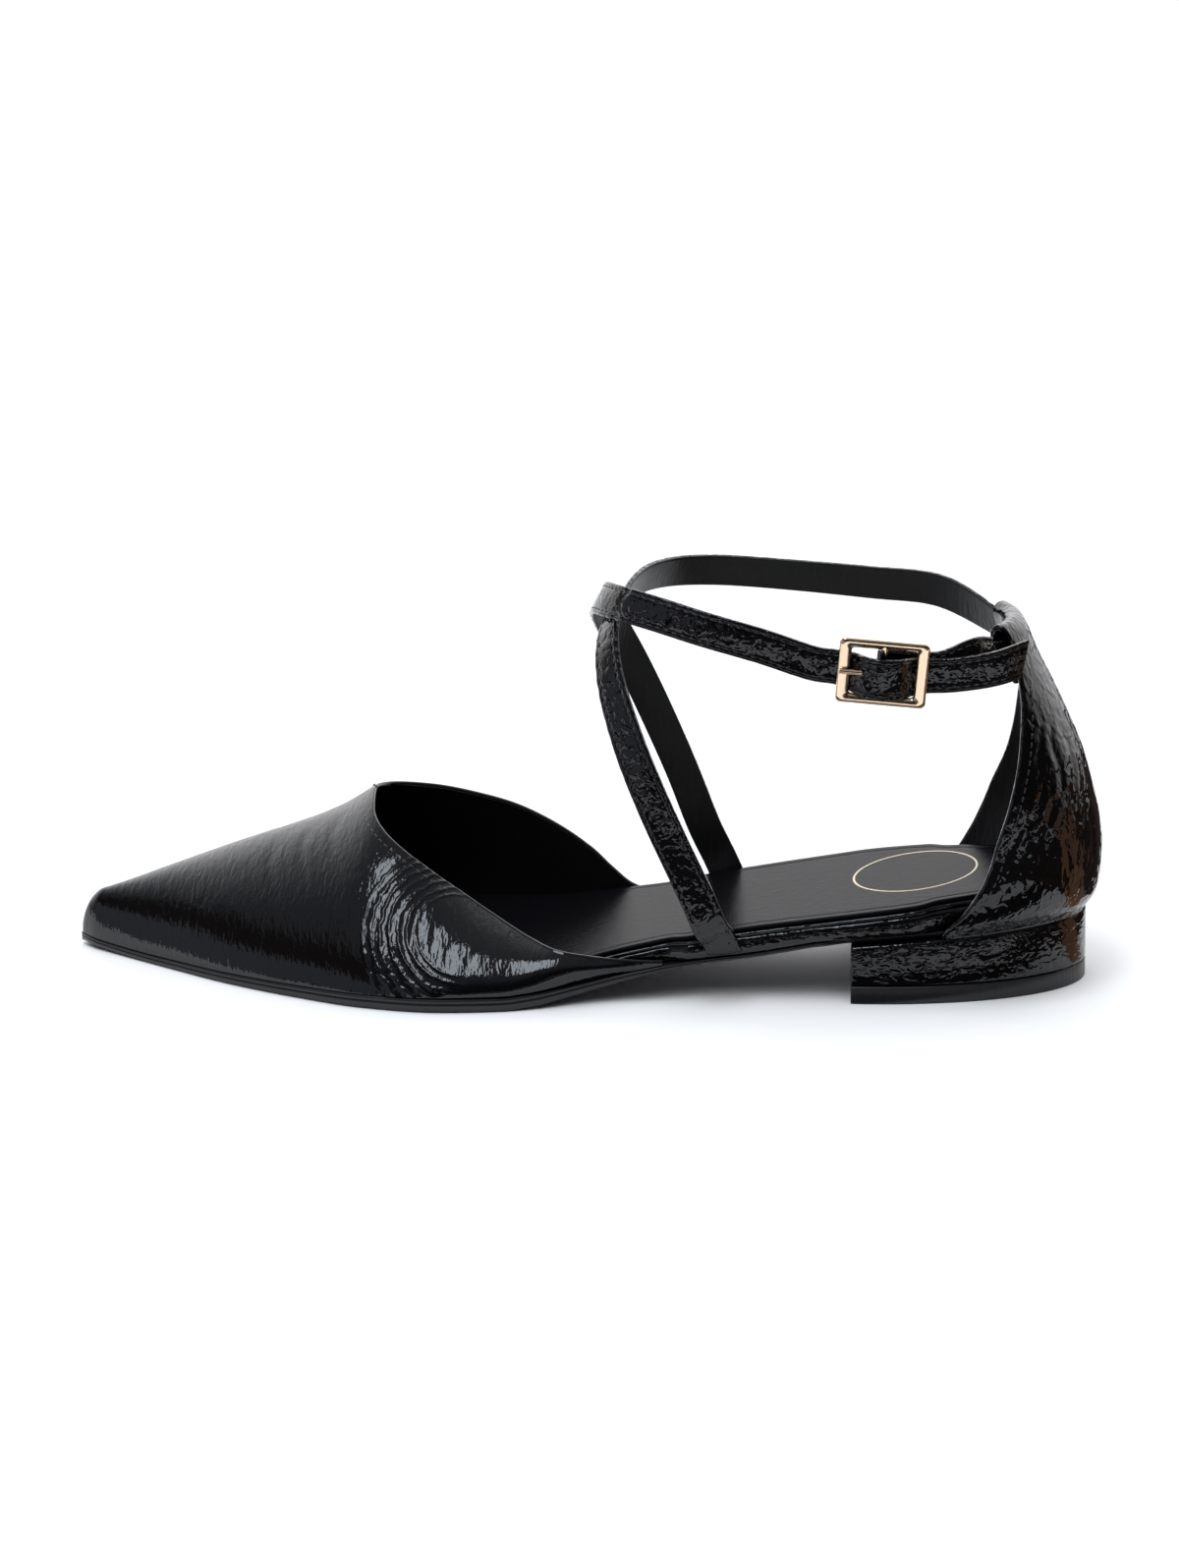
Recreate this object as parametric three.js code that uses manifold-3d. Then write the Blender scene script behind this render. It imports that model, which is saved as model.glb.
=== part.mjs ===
// Left pointed toe flat shoe with crossing ankle straps.
// Millimetres. X runs forward to the toe, Y to the outer side, Z up, and the floor is Z = 0.
// The origin is the middle of the heel's rest face. Stations are measured from the heel's back.
import * as THREE from 'three';
import { ConvexGeometry } from 'three/addons/geometries/ConvexGeometry.js';
import { mergeVertices } from 'three/addons/utils/BufferGeometryUtils.js';
import Module from 'manifold-3d';

const wasm = await Module();
wasm.setup();

// Driving dimensions of the last and the sole
const shoeLength = 262;
const ballWidth = 80;
const toeDrift = 5;
const toeRadius = 5;
const noseLength = 6;
const toeSpring = 1.2;
const heelWidth = 56.6;
const heelDepth = 58.5;
const heelBreastHeight = 14.9;
const heelBackHeight = 18.7;
const liftHeight = 4.6;
const liftProud = 0.25;
const heelSweep = 0.4;
const throatHeight = 43.4;
const counterHeight = 100;
const ankleHeight = 100;
// Pointed ends draw back further than the sides when an outline is set in
const toeDrawBack = 2.1;

// Walls, sheets and clearances
const gap = 0.3;
const upperWall = 1.7;
const foreSoleThickness = 3.6;
const toeSoleThickness = 2.1;
const waistSoleThickness = 1.3;
const soleLip = 0.7;
const toeLip = 0.15;
const waistInset = 0.8;
const sockThickness = 0.8;
const sockInset = 1.2;
const seatInset = upperWall + gap;
const waistCoverLength = 7;
const waistOpeningLength = 8;
const endSliver = 0.15;

// Straps and buckle
const strapWidth = 9;
const strapThickness = 1.4;
const strapTabLength = 10;
const strapHoleRadius = 0.9;
const strapHolePitch = 8;
const buckleLength = 22.4;
const buckleHeight = 16.6;
const buckleSideBar = 3.1;
const buckleLongBar = 2.4;
const buckleThickness = 2;
const buckleCorner = 1;
const buckleBevel = 0.4;
const barRadius = 0.9;
const prongRadius = 0.65;
const freeEndCut = -4.7;
const strapLevel = 1;
const strapFall = 6;
const strapEase = 0.3;
const rootRise = 0.42;
const rootTurn = 1.54;
const longStrapLean = 0.475;
const loopStrapLean = 0.38;

// The counter's folded loop
const tunnelTilt = [-0.92, 0, 0.4];
const loopSpace = strapThickness + 3.4 * gap;
const loopDepth = loopSpace + 2 * upperWall;
const loopRoom = 2;
const loopTaper = 0.9;
const loopHalfAngle = 31;
const tunnelOverrun = 9;
const foldTurns = [35, 70, 110, 145];
const wrapTurns = [-20, 30, 80, 125, 170];

// Surface and mesh steps
const patentRoughness = 0.2;
const strapStepsPerSpan = 2;
const vampHalfSteps = 9;
const vampWingSteps = 15;
const vampFrontSteps = 15;
const counterColumns = 18;
const heelSteps = 36;
const outsoleSteps = 46;
const insoleSteps = 42;
const sockSteps = 38;

// Places along the shoe, as shares of its length
const wingTipShare = 0.405;
const throatShare = 0.705;
const counterFrontShare = 0.137;
const openWaistShare = 0.16;
const waistEndShare = 0.375;
const ballStartShare = 0.55;
const ballMiddleShare = 0.62;
const ballEndShare = 0.905;
const lipStartShare = 0.345;
const lipEndShare = 0.425;
const strapRootShare = 0.344;
const longStrapRootShare = 0.3525;
const toeLipShare = 0.9;

const wingTip = wingTipShare * shoeLength;
const throatStation = throatShare * shoeLength;
const ballStart = ballStartShare * shoeLength;
const ballEnd = ballEndShare * shoeLength;

// Outer face of the upper at the sole. Sides are shares of the ball width from the last's axis.
const lastOutline = [
  { along: heelDepth / shoeLength, outer: heelWidth / 2 / ballWidth, inner: heelWidth / 2 / ballWidth },
  { along: 0.286, outer: 0.353, inner: 0.333 },
  { along: 0.343, outer: 0.358, inner: 0.313 },
  { along: 0.385, outer: 0.372, inner: 0.303 },
  { along: 0.42, outer: 0.392, inner: 0.305 },
  { along: 0.454, outer: 0.415, inner: 0.319 },
  { along: 0.485, outer: 0.447, inner: 0.337 },
  { along: 0.527, outer: 0.507, inner: 0.365 },
  { along: 0.573, outer: 0.546, inner: 0.396 },
  { along: 0.63, outer: 0.567, inner: 0.418 },
  { along: 0.69, outer: 0.543, inner: 0.419 },
  { along: 0.763, outer: 0.461, inner: 0.367 },
  { along: 0.836, outer: 0.35, inner: 0.283 },
  { along: 0.912, outer: 0.2, inner: 0.169 },
  { along: 1, outer: 0.03, inner: 0.028 },
];

// Underside of the sole in the arch, as shares of the heel's height at its breast
const archProfile = [
  { along: heelDepth / shoeLength, rise: 1 },
  { along: 0.252, rise: 0.955 },
  { along: 0.286, rise: 0.835 },
  { along: 0.324, rise: 0.71 },
  { along: 0.363, rise: 0.625 },
  { along: 0.401, rise: 0.53 },
  { along: 0.427, rise: 0.43 },
  { along: 0.458, rise: 0.295 },
  { along: 0.489, rise: 0.165 },
  { along: 0.519, rise: 0.065 },
  { along: ballStartShare, rise: 0 },
];

// Top of the sock lining, as shares of the heel's height at its back
const footbedProfile = [
  { along: 0, rise: 1.55 },
  { along: 0.06, rise: 1.52 },
  { along: 0.13, rise: 1.425 },
  { along: 0.172, rise: 1.345 },
  { along: 0.21, rise: 1.275 },
  { along: 0.252, rise: 1.185 },
  { along: 0.343, rise: 0.985 },
  { along: 0.42, rise: 0.785 },
  { along: 0.454, rise: 0.69 },
  { along: 0.485, rise: 0.595 },
  { along: 0.534, rise: 0.465 },
  { along: 0.592, rise: 0.385 },
  { along: 0.668, rise: 0.345 },
  { along: 0.763, rise: 0.335 },
  { along: 0.954, rise: 0.365 },
];

// Sections of the vamp. Crowns are shares of the throat's height, the crown's shift a share of the
// ball width, and fullness is the section's exponent: 1 is a straight slope, 2 an ellipse.
const vampSections = [
  { along: 0.4, crownOuter: 0.87, crownInner: 0.85, shift: 0.115, fullOuter: 2.6, fullInner: 3 },
  { along: 0.454, crownOuter: 0.87, crownInner: 0.97, shift: 0.12, fullOuter: 2.5, fullInner: 3 },
  { along: 0.485, crownOuter: 0.86, crownInner: 1.06, shift: 0.12, fullOuter: 2.2, fullInner: 3 },
  { along: 0.508, crownOuter: 0.8, crownInner: 1.11, shift: 0.12, fullOuter: 1.7, fullInner: 2.85 },
  { along: 0.534, crownOuter: 0.71, crownInner: 1.15, shift: 0.12, fullOuter: 1.4, fullInner: 2.65 },
  { along: 0.573, crownOuter: 0.76, crownInner: 1.17, shift: 0.118, fullOuter: 1.32, fullInner: 2.37 },
  { along: 0.611, crownOuter: 0.87, crownInner: 1.14, shift: 0.113, fullOuter: 1.31, fullInner: 2.05 },
  { along: 0.64, crownOuter: 0.99, crownInner: 1.12, shift: 0.108, fullOuter: 1.31, fullInner: 1.86 },
  { along: 0.668, crownOuter: 1.055, crownInner: 1.09, shift: 0.103, fullOuter: 1.36, fullInner: 1.72 },
  { along: 0.69, crownOuter: 1.04, crownInner: 1.045, shift: 0.0985, fullOuter: 1.4, fullInner: 1.69 },
  { along: 0.703, crownOuter: 1, crownInner: 1, shift: 0.096, fullOuter: 1.44, fullInner: 1.68 },
  { along: 0.733, crownOuter: 0.885, crownInner: 0.885, shift: 0.088, fullOuter: 1.51, fullInner: 1.68 },
  { along: 0.763, crownOuter: 0.805, crownInner: 0.805, shift: 0.079, fullOuter: 1.57, fullInner: 1.69 },
  { along: 0.84, crownOuter: 0.65, crownInner: 0.65, shift: 0.05, fullOuter: 1.65, fullInner: 1.75 },
  { along: 0.916, crownOuter: 0.485, crownInner: 0.485, shift: 0.024, fullOuter: 1.75, fullInner: 1.8 },
  { along: 0.954, crownOuter: 0.4, crownInner: 0.4, shift: 0.012, fullOuter: 1.85, fullInner: 1.85 },
  { along: 1, crownOuter: 0.31, crownInner: 0.31, shift: 0, fullOuter: 1.9, fullInner: 1.9 },
];

// Height of the vamp's topline, as shares of the throat's height
const toplineOuter = [
  { along: wingTipShare, rise: 0.232 },
  { along: 0.42, rise: 0.235 },
  { along: 0.454, rise: 0.255 },
  { along: 0.485, rise: 0.29 },
  { along: 0.534, rise: 0.355 },
  { along: 0.573, rise: 0.455 },
  { along: 0.611, rise: 0.58 },
  { along: 0.649, rise: 0.72 },
  { along: 0.668, rise: 0.79 },
  { along: 0.687, rise: 0.86 },
  { along: 0.7, rise: 0.925 },
  { along: throatShare, rise: 1 },
];
const toplineInner = [
  { along: wingTipShare, rise: 0.232 },
  { along: 0.427, rise: 0.24 },
  { along: 0.454, rise: 0.285 },
  { along: 0.477, rise: 0.39 },
  { along: 0.496, rise: 0.495 },
  { along: 0.534, rise: 0.645 },
  { along: 0.573, rise: 0.757 },
  { along: 0.611, rise: 0.837 },
  { along: 0.649, rise: 0.912 },
  { along: 0.687, rise: 0.97 },
  { along: throatShare, rise: 1 },
];

// Rows of the counter, from the heel seat up, over the folded loop and down inside it. Rise and back
// are shares of the counter's height, depth and half width shares of the heel's width, and the edges
// are angles from the back in degrees.
const counterRows = [
  { rise: 0.19, back: 0, depth: heelDepth / heelWidth, half: 0.5, outer: 66.5, inner: 69 },
  { rise: 0.23, back: -0.027, depth: 0.8, half: 0.517, outer: 75.5, inner: 80 },
  { rise: 0.28, back: -0.036, depth: 0.67, half: 0.528, outer: 79.5, inner: 85.5 },
  { rise: 0.35, back: -0.04, depth: 0.585, half: 0.532, outer: 80.5, inner: 87.5 },
  { rise: 0.43, back: -0.031, depth: 0.548, half: 0.527, outer: 77.5, inner: 83.5 },
  { rise: 0.51, back: -0.012, depth: 0.512, half: 0.512, outer: 71.5, inner: 76.5 },
  { rise: 0.6, back: 0.013, depth: 0.477, half: 0.477, outer: 64, inner: 69.5 },
  { rise: 0.69, back: 0.05, depth: 0.45, half: 0.45, outer: 54, inner: 59.5 },
  { rise: 0.78, back: 0.092, depth: 0.433, half: 0.433, outer: 42, inner: 45.5 },
  { rise: 0.85, back: 0.127, depth: 0.424, half: 0.424, outer: 34, inner: 35 },
];

// Rows of straps where they hang free. Along is a share of the shoe's length, side of the ball width
// and rise of the ankle height. Facing is the way the outside looks, and over counts the strap
// layers that lie beneath.
const loopStrapRise = [
  { along: 0.356, side: 0.4, rise: 0.2, facing: [-0.1, 1, 0], over: 0 },
  { along: 0.367, side: 0.42, rise: 0.28, facing: [-0.05, 1, 0], over: 0 },
  { along: 0.38, side: 0.43, rise: 0.36, facing: [0, 1, 0.05], over: 0 },
  { along: 0.407, side: 0.43, rise: 0.52, facing: [0.1, 1, 0.1], over: 0 },
  { along: 0.433, side: 0.385, rise: 0.68, facing: [0.35, 0.9, 0.2], over: 0 },
  { along: 0.4535, side: 0.29, rise: 0.835, facing: [0.65, 0.65, 0.35], over: 0 },
  { along: 0.4575, side: 0.195, rise: 0.93, facing: [0.8, 0.4, 0.45], over: 0 },
  { along: 0.45, side: 0.085, rise: 0.984, facing: [0.85, 0.1, 0.5], over: 0 },
  { along: 0.441, side: -0.03, rise: 0.998, facing: [0.85, -0.2, 0.45], over: 0 },
  { along: 0.43, side: -0.14, rise: 0.998, facing: [0.7, -0.6, 0.35], over: 0 },
  { along: 0.407, side: -0.255, rise: 0.991, facing: [0.4, -0.9, 0.33], over: 0 },
  { along: 0.366, side: -0.325, rise: 0.981, facing: [0.15, -1, 0.3], over: 0 },
  { along: 0.3, side: -0.352, rise: 0.966, facing: [0, -1, 0.27], over: 0 },
  { along: 0.215, side: -0.357, rise: 0.948, facing: [-0.1, -1, 0.13], over: 0 },
  { along: 0.15, side: -0.335, rise: 0.935, facing: [-0.3, -0.95, 0.1], over: 0 },
];
const longStrapRise = [
  { along: 0.3665, side: -0.335, rise: 0.2, facing: [0, -1, 0], over: 0 },
  { along: 0.381, side: -0.332, rise: 0.28, facing: [0, -1, 0], over: 0 },
  { along: 0.404, side: -0.33, rise: 0.44, facing: [0, -1, 0.1], over: 0 },
  { along: 0.427, side: -0.295, rise: 0.6, facing: [0.25, -1, 0.2], over: 0 },
  { along: 0.449, side: -0.22, rise: 0.76, facing: [0.6, -0.75, 0.3], over: 0 },
  { along: 0.461, side: -0.135, rise: 0.865, facing: [0.8, -0.5, 0.4], over: 0.6 },
  { along: 0.4655, side: -0.03, rise: 0.94, facing: [0.85, -0.15, 0.5], over: 1 },
  { along: 0.4625, side: 0.085, rise: 0.985, facing: [0.8, 0.25, 0.5], over: 1 },
  { along: 0.4525, side: 0.19, rise: 1.008, facing: [0.7, 0.6, 0.4], over: 1 },
  { along: 0.434, side: 0.285, rise: 1.02, facing: [0.4, 0.85, 0.25], over: 0.6 },
  { along: 0.404, side: 0.352, rise: 1.012, facing: [0.2, 1, 0.15], over: 0 },
  { along: 0.36, side: 0.39, rise: 0.985, facing: [0.05, 1, 0.1], over: 0 },
  { along: 0.305, side: 0.404, rise: 0.948, facing: [0, 1, 0.05], over: 0 },
];
const freeEndRise = [
  { along: 0.09, side: 0.338, rise: 0.89, facing: [-0.35, 1, 0.05], over: 1 },
  { along: 0.066, side: 0.275, rise: 0.9, facing: [-0.55, 0.85, 0.1], over: 1 },
];
const loopReturn = { along: 0.107, side: 0.292, rise: 0.912, facing: [-0.45, 0.9, 0.1], over: 0 };

// Place of the buckle on the outer side, in the same shares, and its lean in degrees
const bucklePlace = { along: 0.1925, side: 0.408, rise: 0.886, pitch: 5, yaw: 2.5 };

// Sides of the plates, from the bottom up: how far each level is set in
const liftRim = [
  { inset: 0.3, level: 0 },
  { inset: 0, level: 0.1 },
  { inset: 0, level: 0.93 },
  { inset: 0.3, level: 1 },
];
const heelRim = [
  { inset: 0.3, level: 0 },
  { inset: 0, level: 0.05 },
  { inset: 0, level: 0.92 },
  { inset: 0.6, level: 1 },
];
const outsoleRim = [
  { inset: 1.2, level: 0 },
  { inset: 0.35, level: 0.22 },
  { inset: 0.1, level: 0.55 },
  { inset: 0.35, level: 0.68 },
  { inset: 0, level: 0.8 },
  { inset: 0.15, level: 1 },
];
const insoleRim = [
  { inset: 0.9, level: 0 },
  { inset: 0.2, level: 0.16 },
  { inset: 0, level: 0.4 },
  { inset: 0.25, level: 0.72 },
  { inset: 0.75, level: 0.8 },
  { inset: 0.35, level: 0.88 },
  { inset: 0.9, level: 1 },
];
const sockRim = [
  { inset: 0.2, level: 0 },
  { inset: 0, level: 0.6 },
  { inset: 0.5, level: 1 },
];

// Reads a column of a table between its rows with a monotone cubic
function column(table, key, from = 'along') {
  const count = table.length;
  const slope = (i) => (table[i + 1][key] - table[i][key]) / (table[i + 1][from] - table[i][from]);
  const bend = (i) => {
    if (i === 0) return slope(0);
    if (i === count - 1) return slope(count - 2);
    const before = slope(i - 1);
    const after = slope(i);
    return before * after <= 0 ? 0 : (2 * before * after) / (before + after);
  };
  return (share) => {
    let i = 0;
    while (i < count - 2 && share > table[i + 1][from]) i += 1;
    const span = table[i + 1][from] - table[i][from];
    const t = THREE.MathUtils.clamp((share - table[i][from]) / span, 0, 1);
    const a = table[i][key];
    const b = table[i + 1][key];
    const rest = 1 - t;
    return (
      a * (1 + 2 * t) * rest * rest +
      bend(i) * span * t * rest * rest +
      b * t * t * (3 - 2 * t) -
      bend(i + 1) * span * t * t * rest
    );
  };
}

const outlineShare = { outer: column(lastOutline, 'outer'), inner: column(lastOutline, 'inner') };
const archShare = column(archProfile, 'rise');
const footbedShare = column(footbedProfile, 'rise');

// Sideways place of the last's axis: it drifts to the inner side towards the toe
function axisSide(x) {
  return (-toeDrift * Math.max(0, x - heelDepth)) / (shoeLength - heelDepth);
}

function roundEnd(t) {
  const s = THREE.MathUtils.clamp(t, 0, 1);
  return Math.sqrt(1 - (1 - s) * (1 - s));
}

// Distance of an edge from the axis, for an outline that is set in by so much
function edgeReach(side, x, inset) {
  if (x < heelDepth) {
    const turn = (heelDepth - x) / (heelDepth - inset);
    return (heelWidth / 2 - inset) * Math.sqrt(Math.max(0, 1 - turn * turn));
  }
  const reach = outlineShare[side](x / shoeLength) * ballWidth - inset;
  const toe = shoeLength - toeDrawBack * inset;
  return reach * roundEnd((toe - x) / toeRadius);
}

const sign = { outer: 1, inner: -1 };

function heelTop(x) {
  const t = THREE.MathUtils.clamp(x / heelDepth, 0, 1);
  return THREE.MathUtils.lerp(heelBackHeight, heelBreastHeight, t * (1 - heelSweep + heelSweep * t));
}

function soleBottom(x) {
  if (x <= heelDepth) return heelTop(x) + gap;
  if (x >= ballEnd) return toeSpring * ((x - ballEnd) / (shoeLength - ballEnd)) ** 2;
  if (x >= ballStart) return 0;
  const rest = 1 - (x - heelDepth) / (ballStart - heelDepth);
  return archShare(x / shoeLength) * heelBreastHeight + gap * rest;
}

function soleTop(x) {
  const spread = THREE.MathUtils.smoothstep(x / shoeLength, waistEndShare, ballStartShare);
  const nose = THREE.MathUtils.smoothstep(x / shoeLength, ballMiddleShare, 1);
  const fore = THREE.MathUtils.lerp(foreSoleThickness, toeSoleThickness, nose);
  return soleBottom(x) + THREE.MathUtils.lerp(waistSoleThickness, fore, spread);
}

function footbedTop(x) {
  return footbedShare(x / shoeLength) * heelBackHeight;
}

function insoleTop(x) {
  return footbedTop(x) - sockThickness - gap;
}

// Stations of a stretch, closer together towards both ends
function stationsBetween(start, end, count) {
  const rows = [];
  for (let i = 0; i <= count; i += 1) {
    const t = i / count;
    rows.push(start + (end - start) * (0.5 - 0.5 * Math.cos(Math.PI * t)));
  }
  return rows;
}

function meshGeometry(points, faces) {
  const geometry = new THREE.BufferGeometry();
  const numbers = points.flatMap((p) => [p.x, p.y, p.z]);
  geometry.setAttribute('position', new THREE.Float32BufferAttribute(numbers, 3));
  geometry.setIndex(faces.flat());
  return mergeVertices(geometry, 1e-4);
}

// Turns a closed geometry inside out where its volume comes out negative
function facingOut(geometry) {
  const at = geometry.getAttribute('position');
  const index = geometry.getIndex().array;
  const a = new THREE.Vector3();
  const b = new THREE.Vector3();
  const c = new THREE.Vector3();
  let volume = 0;
  for (let i = 0; i < index.length; i += 3) {
    a.fromBufferAttribute(at, index[i]);
    b.fromBufferAttribute(at, index[i + 1]);
    c.fromBufferAttribute(at, index[i + 2]);
    volume += a.dot(b.cross(c));
  }
  if (volume < 0) {
    for (let i = 0; i < index.length; i += 3) {
      [index[i + 1], index[i + 2]] = [index[i + 2], index[i + 1]];
    }
  }
  return geometry;
}

// A solid through closed loops of points, capped by fans at both ends
function loft(loops) {
  const points = loops.flat();
  const around = loops[0].length;
  const faces = [];
  for (let i = 0; i < loops.length - 1; i += 1) {
    for (let j = 0; j < around; j += 1) {
      const a = i * around + j;
      const b = i * around + ((j + 1) % around);
      faces.push([a, b, b + around], [a, b + around, a + around]);
    }
  }
  for (const [loop, first] of [[loops[0], 0], [loops[loops.length - 1], (loops.length - 1) * around]]) {
    const middle = points.length;
    points.push(loop.reduce((sum, p) => sum.add(p), new THREE.Vector3()).divideScalar(around));
    for (let j = 0; j < around; j += 1) {
      const a = first + j;
      const b = first + ((j + 1) % around);
      faces.push(first === 0 ? [b, a, middle] : [a, b, middle]);
    }
  }
  return facingOut(meshGeometry(points, faces));
}

// A wall between an outer and an inner sheet, given as rows of points
function wall(outerRows, innerRows) {
  const rows = outerRows.length;
  const wide = outerRows[0].length;
  const points = [...outerRows.flat(), ...innerRows.flat()];
  const inner = rows * wide;
  const faces = [];
  for (let i = 0; i < rows - 1; i += 1) {
    for (let j = 0; j < wide - 1; j += 1) {
      const a = i * wide + j;
      const b = a + 1;
      const c = a + wide + 1;
      const d = a + wide;
      faces.push([a, b, c], [a, c, d]);
      faces.push([inner + a, inner + c, inner + b], [inner + a, inner + d, inner + c]);
    }
  }
  const rim = [];
  for (let j = 0; j < wide - 1; j += 1) rim.push(j);
  for (let i = 0; i < rows - 1; i += 1) rim.push(i * wide + wide - 1);
  for (let j = wide - 1; j > 0; j -= 1) rim.push((rows - 1) * wide + j);
  for (let i = rows - 1; i > 0; i -= 1) rim.push(i * wide);
  rim.forEach((a, k) => {
    const b = rim[(k + 1) % rim.length];
    faces.push([b, a, inner + a], [b, inner + a, inner + b]);
  });
  return facingOut(meshGeometry(points, faces));
}

function toManifold(geometry) {
  const bare = new THREE.BufferGeometry();
  bare.setAttribute('position', geometry.getAttribute('position').clone());
  if (geometry.getIndex()) bare.setIndex(geometry.getIndex().clone());
  const merged = mergeVertices(bare, 1e-4);
  const mesh = new wasm.Mesh({
    numProp: 3,
    vertProperties: new Float32Array(merged.getAttribute('position').array),
    triVerts: new Uint32Array(merged.getIndex().array),
  });
  mesh.merge();
  return new wasm.Manifold(mesh);
}

function toGeometry(solid) {
  const mesh = solid.getMesh();
  const geometry = new THREE.BufferGeometry();
  geometry.setAttribute('position', new THREE.BufferAttribute(new Float32Array(mesh.vertProperties), 3));
  geometry.setIndex(new THREE.BufferAttribute(new Uint32Array(mesh.triVerts), 1));
  return geometry;
}

// A plate along the shoe. The rim lists how far each level of its side is set in.
function plate({ stations, edge, bottom, top, rim }) {
  return loft(stations.map((x) => {
    const axis = axisSide(x);
    const levels = (side) => rim.map(({ inset, level }) => {
      const reach = edge(side, x);
      const setIn = Math.min(inset, reach * 0.4);
      const z = THREE.MathUtils.lerp(bottom(x), top(x), level);
      return new THREE.Vector3(x, axis + sign[side] * (reach - setIn), z);
    });
    return [...levels('outer'), ...levels('inner').reverse()];
  }));
}

// Height and side of a vamp section. Turn runs from 0 at the sole to 1 at the crown.
const vampKeys = ['crownOuter', 'crownInner', 'shift', 'fullOuter', 'fullInner'];
const vampColumn = Object.fromEntries(vampKeys.map((key) => [key, column(vampSections, key)]));
const crownKey = { outer: 'crownOuter', inner: 'crownInner' };
const fullKey = { outer: 'fullOuter', inner: 'fullInner' };

function vampBase(x) {
  return soleTop(x) + gap;
}

function vampShape(side, x, setIn) {
  const share = x / shoeLength;
  const nose = roundEnd((shoeLength - toeDrawBack * setIn - x) / noseLength);
  const base = vampBase(x);
  const crown = x < throatStation ? vampColumn[crownKey[side]] : vampColumn.crownOuter;
  return {
    base,
    reach: edgeReach(side, x, setIn),
    crownSide: -vampColumn.shift(share) * ballWidth * nose,
    height: Math.max(0, crown(share) * throatHeight - setIn - base) * nose,
    full: vampColumn[fullKey[side]](share),
  };
}

function vampPoint(side, x, turn, setIn) {
  const shape = vampShape(side, x, setIn);
  const angle = (turn * Math.PI) / 2;
  const across = Math.max(0, Math.cos(angle)) ** (2 / shape.full);
  const up = Math.max(0, Math.sin(angle)) ** (2 / shape.full);
  const edge = sign[side] * shape.reach;
  const y = axisSide(x) + shape.crownSide + (edge - shape.crownSide) * across;
  return new THREE.Vector3(x, y, shape.base + shape.height * up);
}

// Turn at which a section reaches a height
function vampTurnAt(side, x, z, setIn) {
  const shape = vampShape(side, x, setIn);
  const up = THREE.MathUtils.clamp((z - shape.base) / shape.height, 0, 1);
  return (Math.asin(up ** (shape.full / 2)) * 2) / Math.PI;
}

// Distance from the axis of the vamp's lining at a height
function vampInside(side, x, z) {
  const point = vampPoint(side, x, vampTurnAt(side, x, z, upperWall), upperWall);
  return sign[side] * (point.y - axisSide(x));
}

const toplineShare = { outer: column(toplineOuter, 'rise'), inner: column(toplineInner, 'rise') };

function toplineTurn(side, x) {
  if (x >= throatStation) return 1;
  return vampTurnAt(side, x, toplineShare[side](x / shoeLength) * throatHeight, 0);
}

function vampSolid() {
  const stations = [];
  for (let i = 0; i <= vampWingSteps; i += 1) {
    const t = i / vampWingSteps;
    stations.push(wingTip + (throatStation - wingTip) * Math.sin((t * Math.PI) / 2));
  }
  for (let i = 1; i <= vampFrontSteps; i += 1) {
    const t = i / vampFrontSteps;
    stations.push(throatStation + (shoeLength - endSliver - throatStation) * Math.sin((t * Math.PI) / 2));
  }
  const sheet = (setIn) => (x) => {
    const innerToe = shoeLength - endSliver - toeDrawBack * setIn;
    const t = (x - throatStation) / (shoeLength - endSliver - throatStation);
    const station = x <= throatStation ? x : throatStation + (innerToe - throatStation) * t;
    const half = (side) => {
      const row = [];
      for (let j = 0; j <= vampHalfSteps; j += 1) {
        row.push(vampPoint(side, station, (toplineTurn(side, x) * j) / vampHalfSteps, setIn));
      }
      return row;
    };
    return { outer: half('outer'), inner: half('inner') };
  };
  const outside = stations.map(sheet(0));
  const inside = stations.map(sheet(upperWall));
  const halves = ['outer', 'inner'].map((side) => {
    const rows = (sheets) => sheets.map((row) => row[side]);
    return { side, out: rows(outside), in: rows(inside) };
  });
  return joinHalves(halves, vampWingSteps);
}

// Closes the two halves of the vamp, which share the crown ahead of the throat
function joinHalves(halves, throatRow) {
  const points = [];
  const faces = [];
  const number = (rows) => rows.map((row) => row.map((point) => points.push(point) - 1));
  const along = (rows, j) => rows.map((row) => row.at(j));
  const strip = (first, second, turned) => {
    for (let k = 0; k < first.length - 1; k += 1) {
      const [a, b, c, d] = [first[k], first[k + 1], second[k + 1], second[k]];
      if (turned) faces.push([a, c, b], [a, d, c]);
      else faces.push([a, b, c], [a, c, d]);
    }
  };
  for (const half of halves) {
    const turned = half.side === 'inner';
    const out = number(half.out);
    const lining = number(half.in);
    for (let i = 0; i < out.length - 1; i += 1) {
      strip(out[i], out[i + 1], !turned);
      strip(lining[i], lining[i + 1], turned);
    }
    const topline = (rows) => along(rows, -1).slice(0, throatRow + 1);
    strip(along(lining, 0), along(out, 0), turned);
    strip(topline(out), topline(lining), turned);
    strip(out[0], lining[0], turned);
    strip(lining.at(-1), out.at(-1), turned);
  }
  return facingOut(meshGeometry(points, faces));
}

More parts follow.
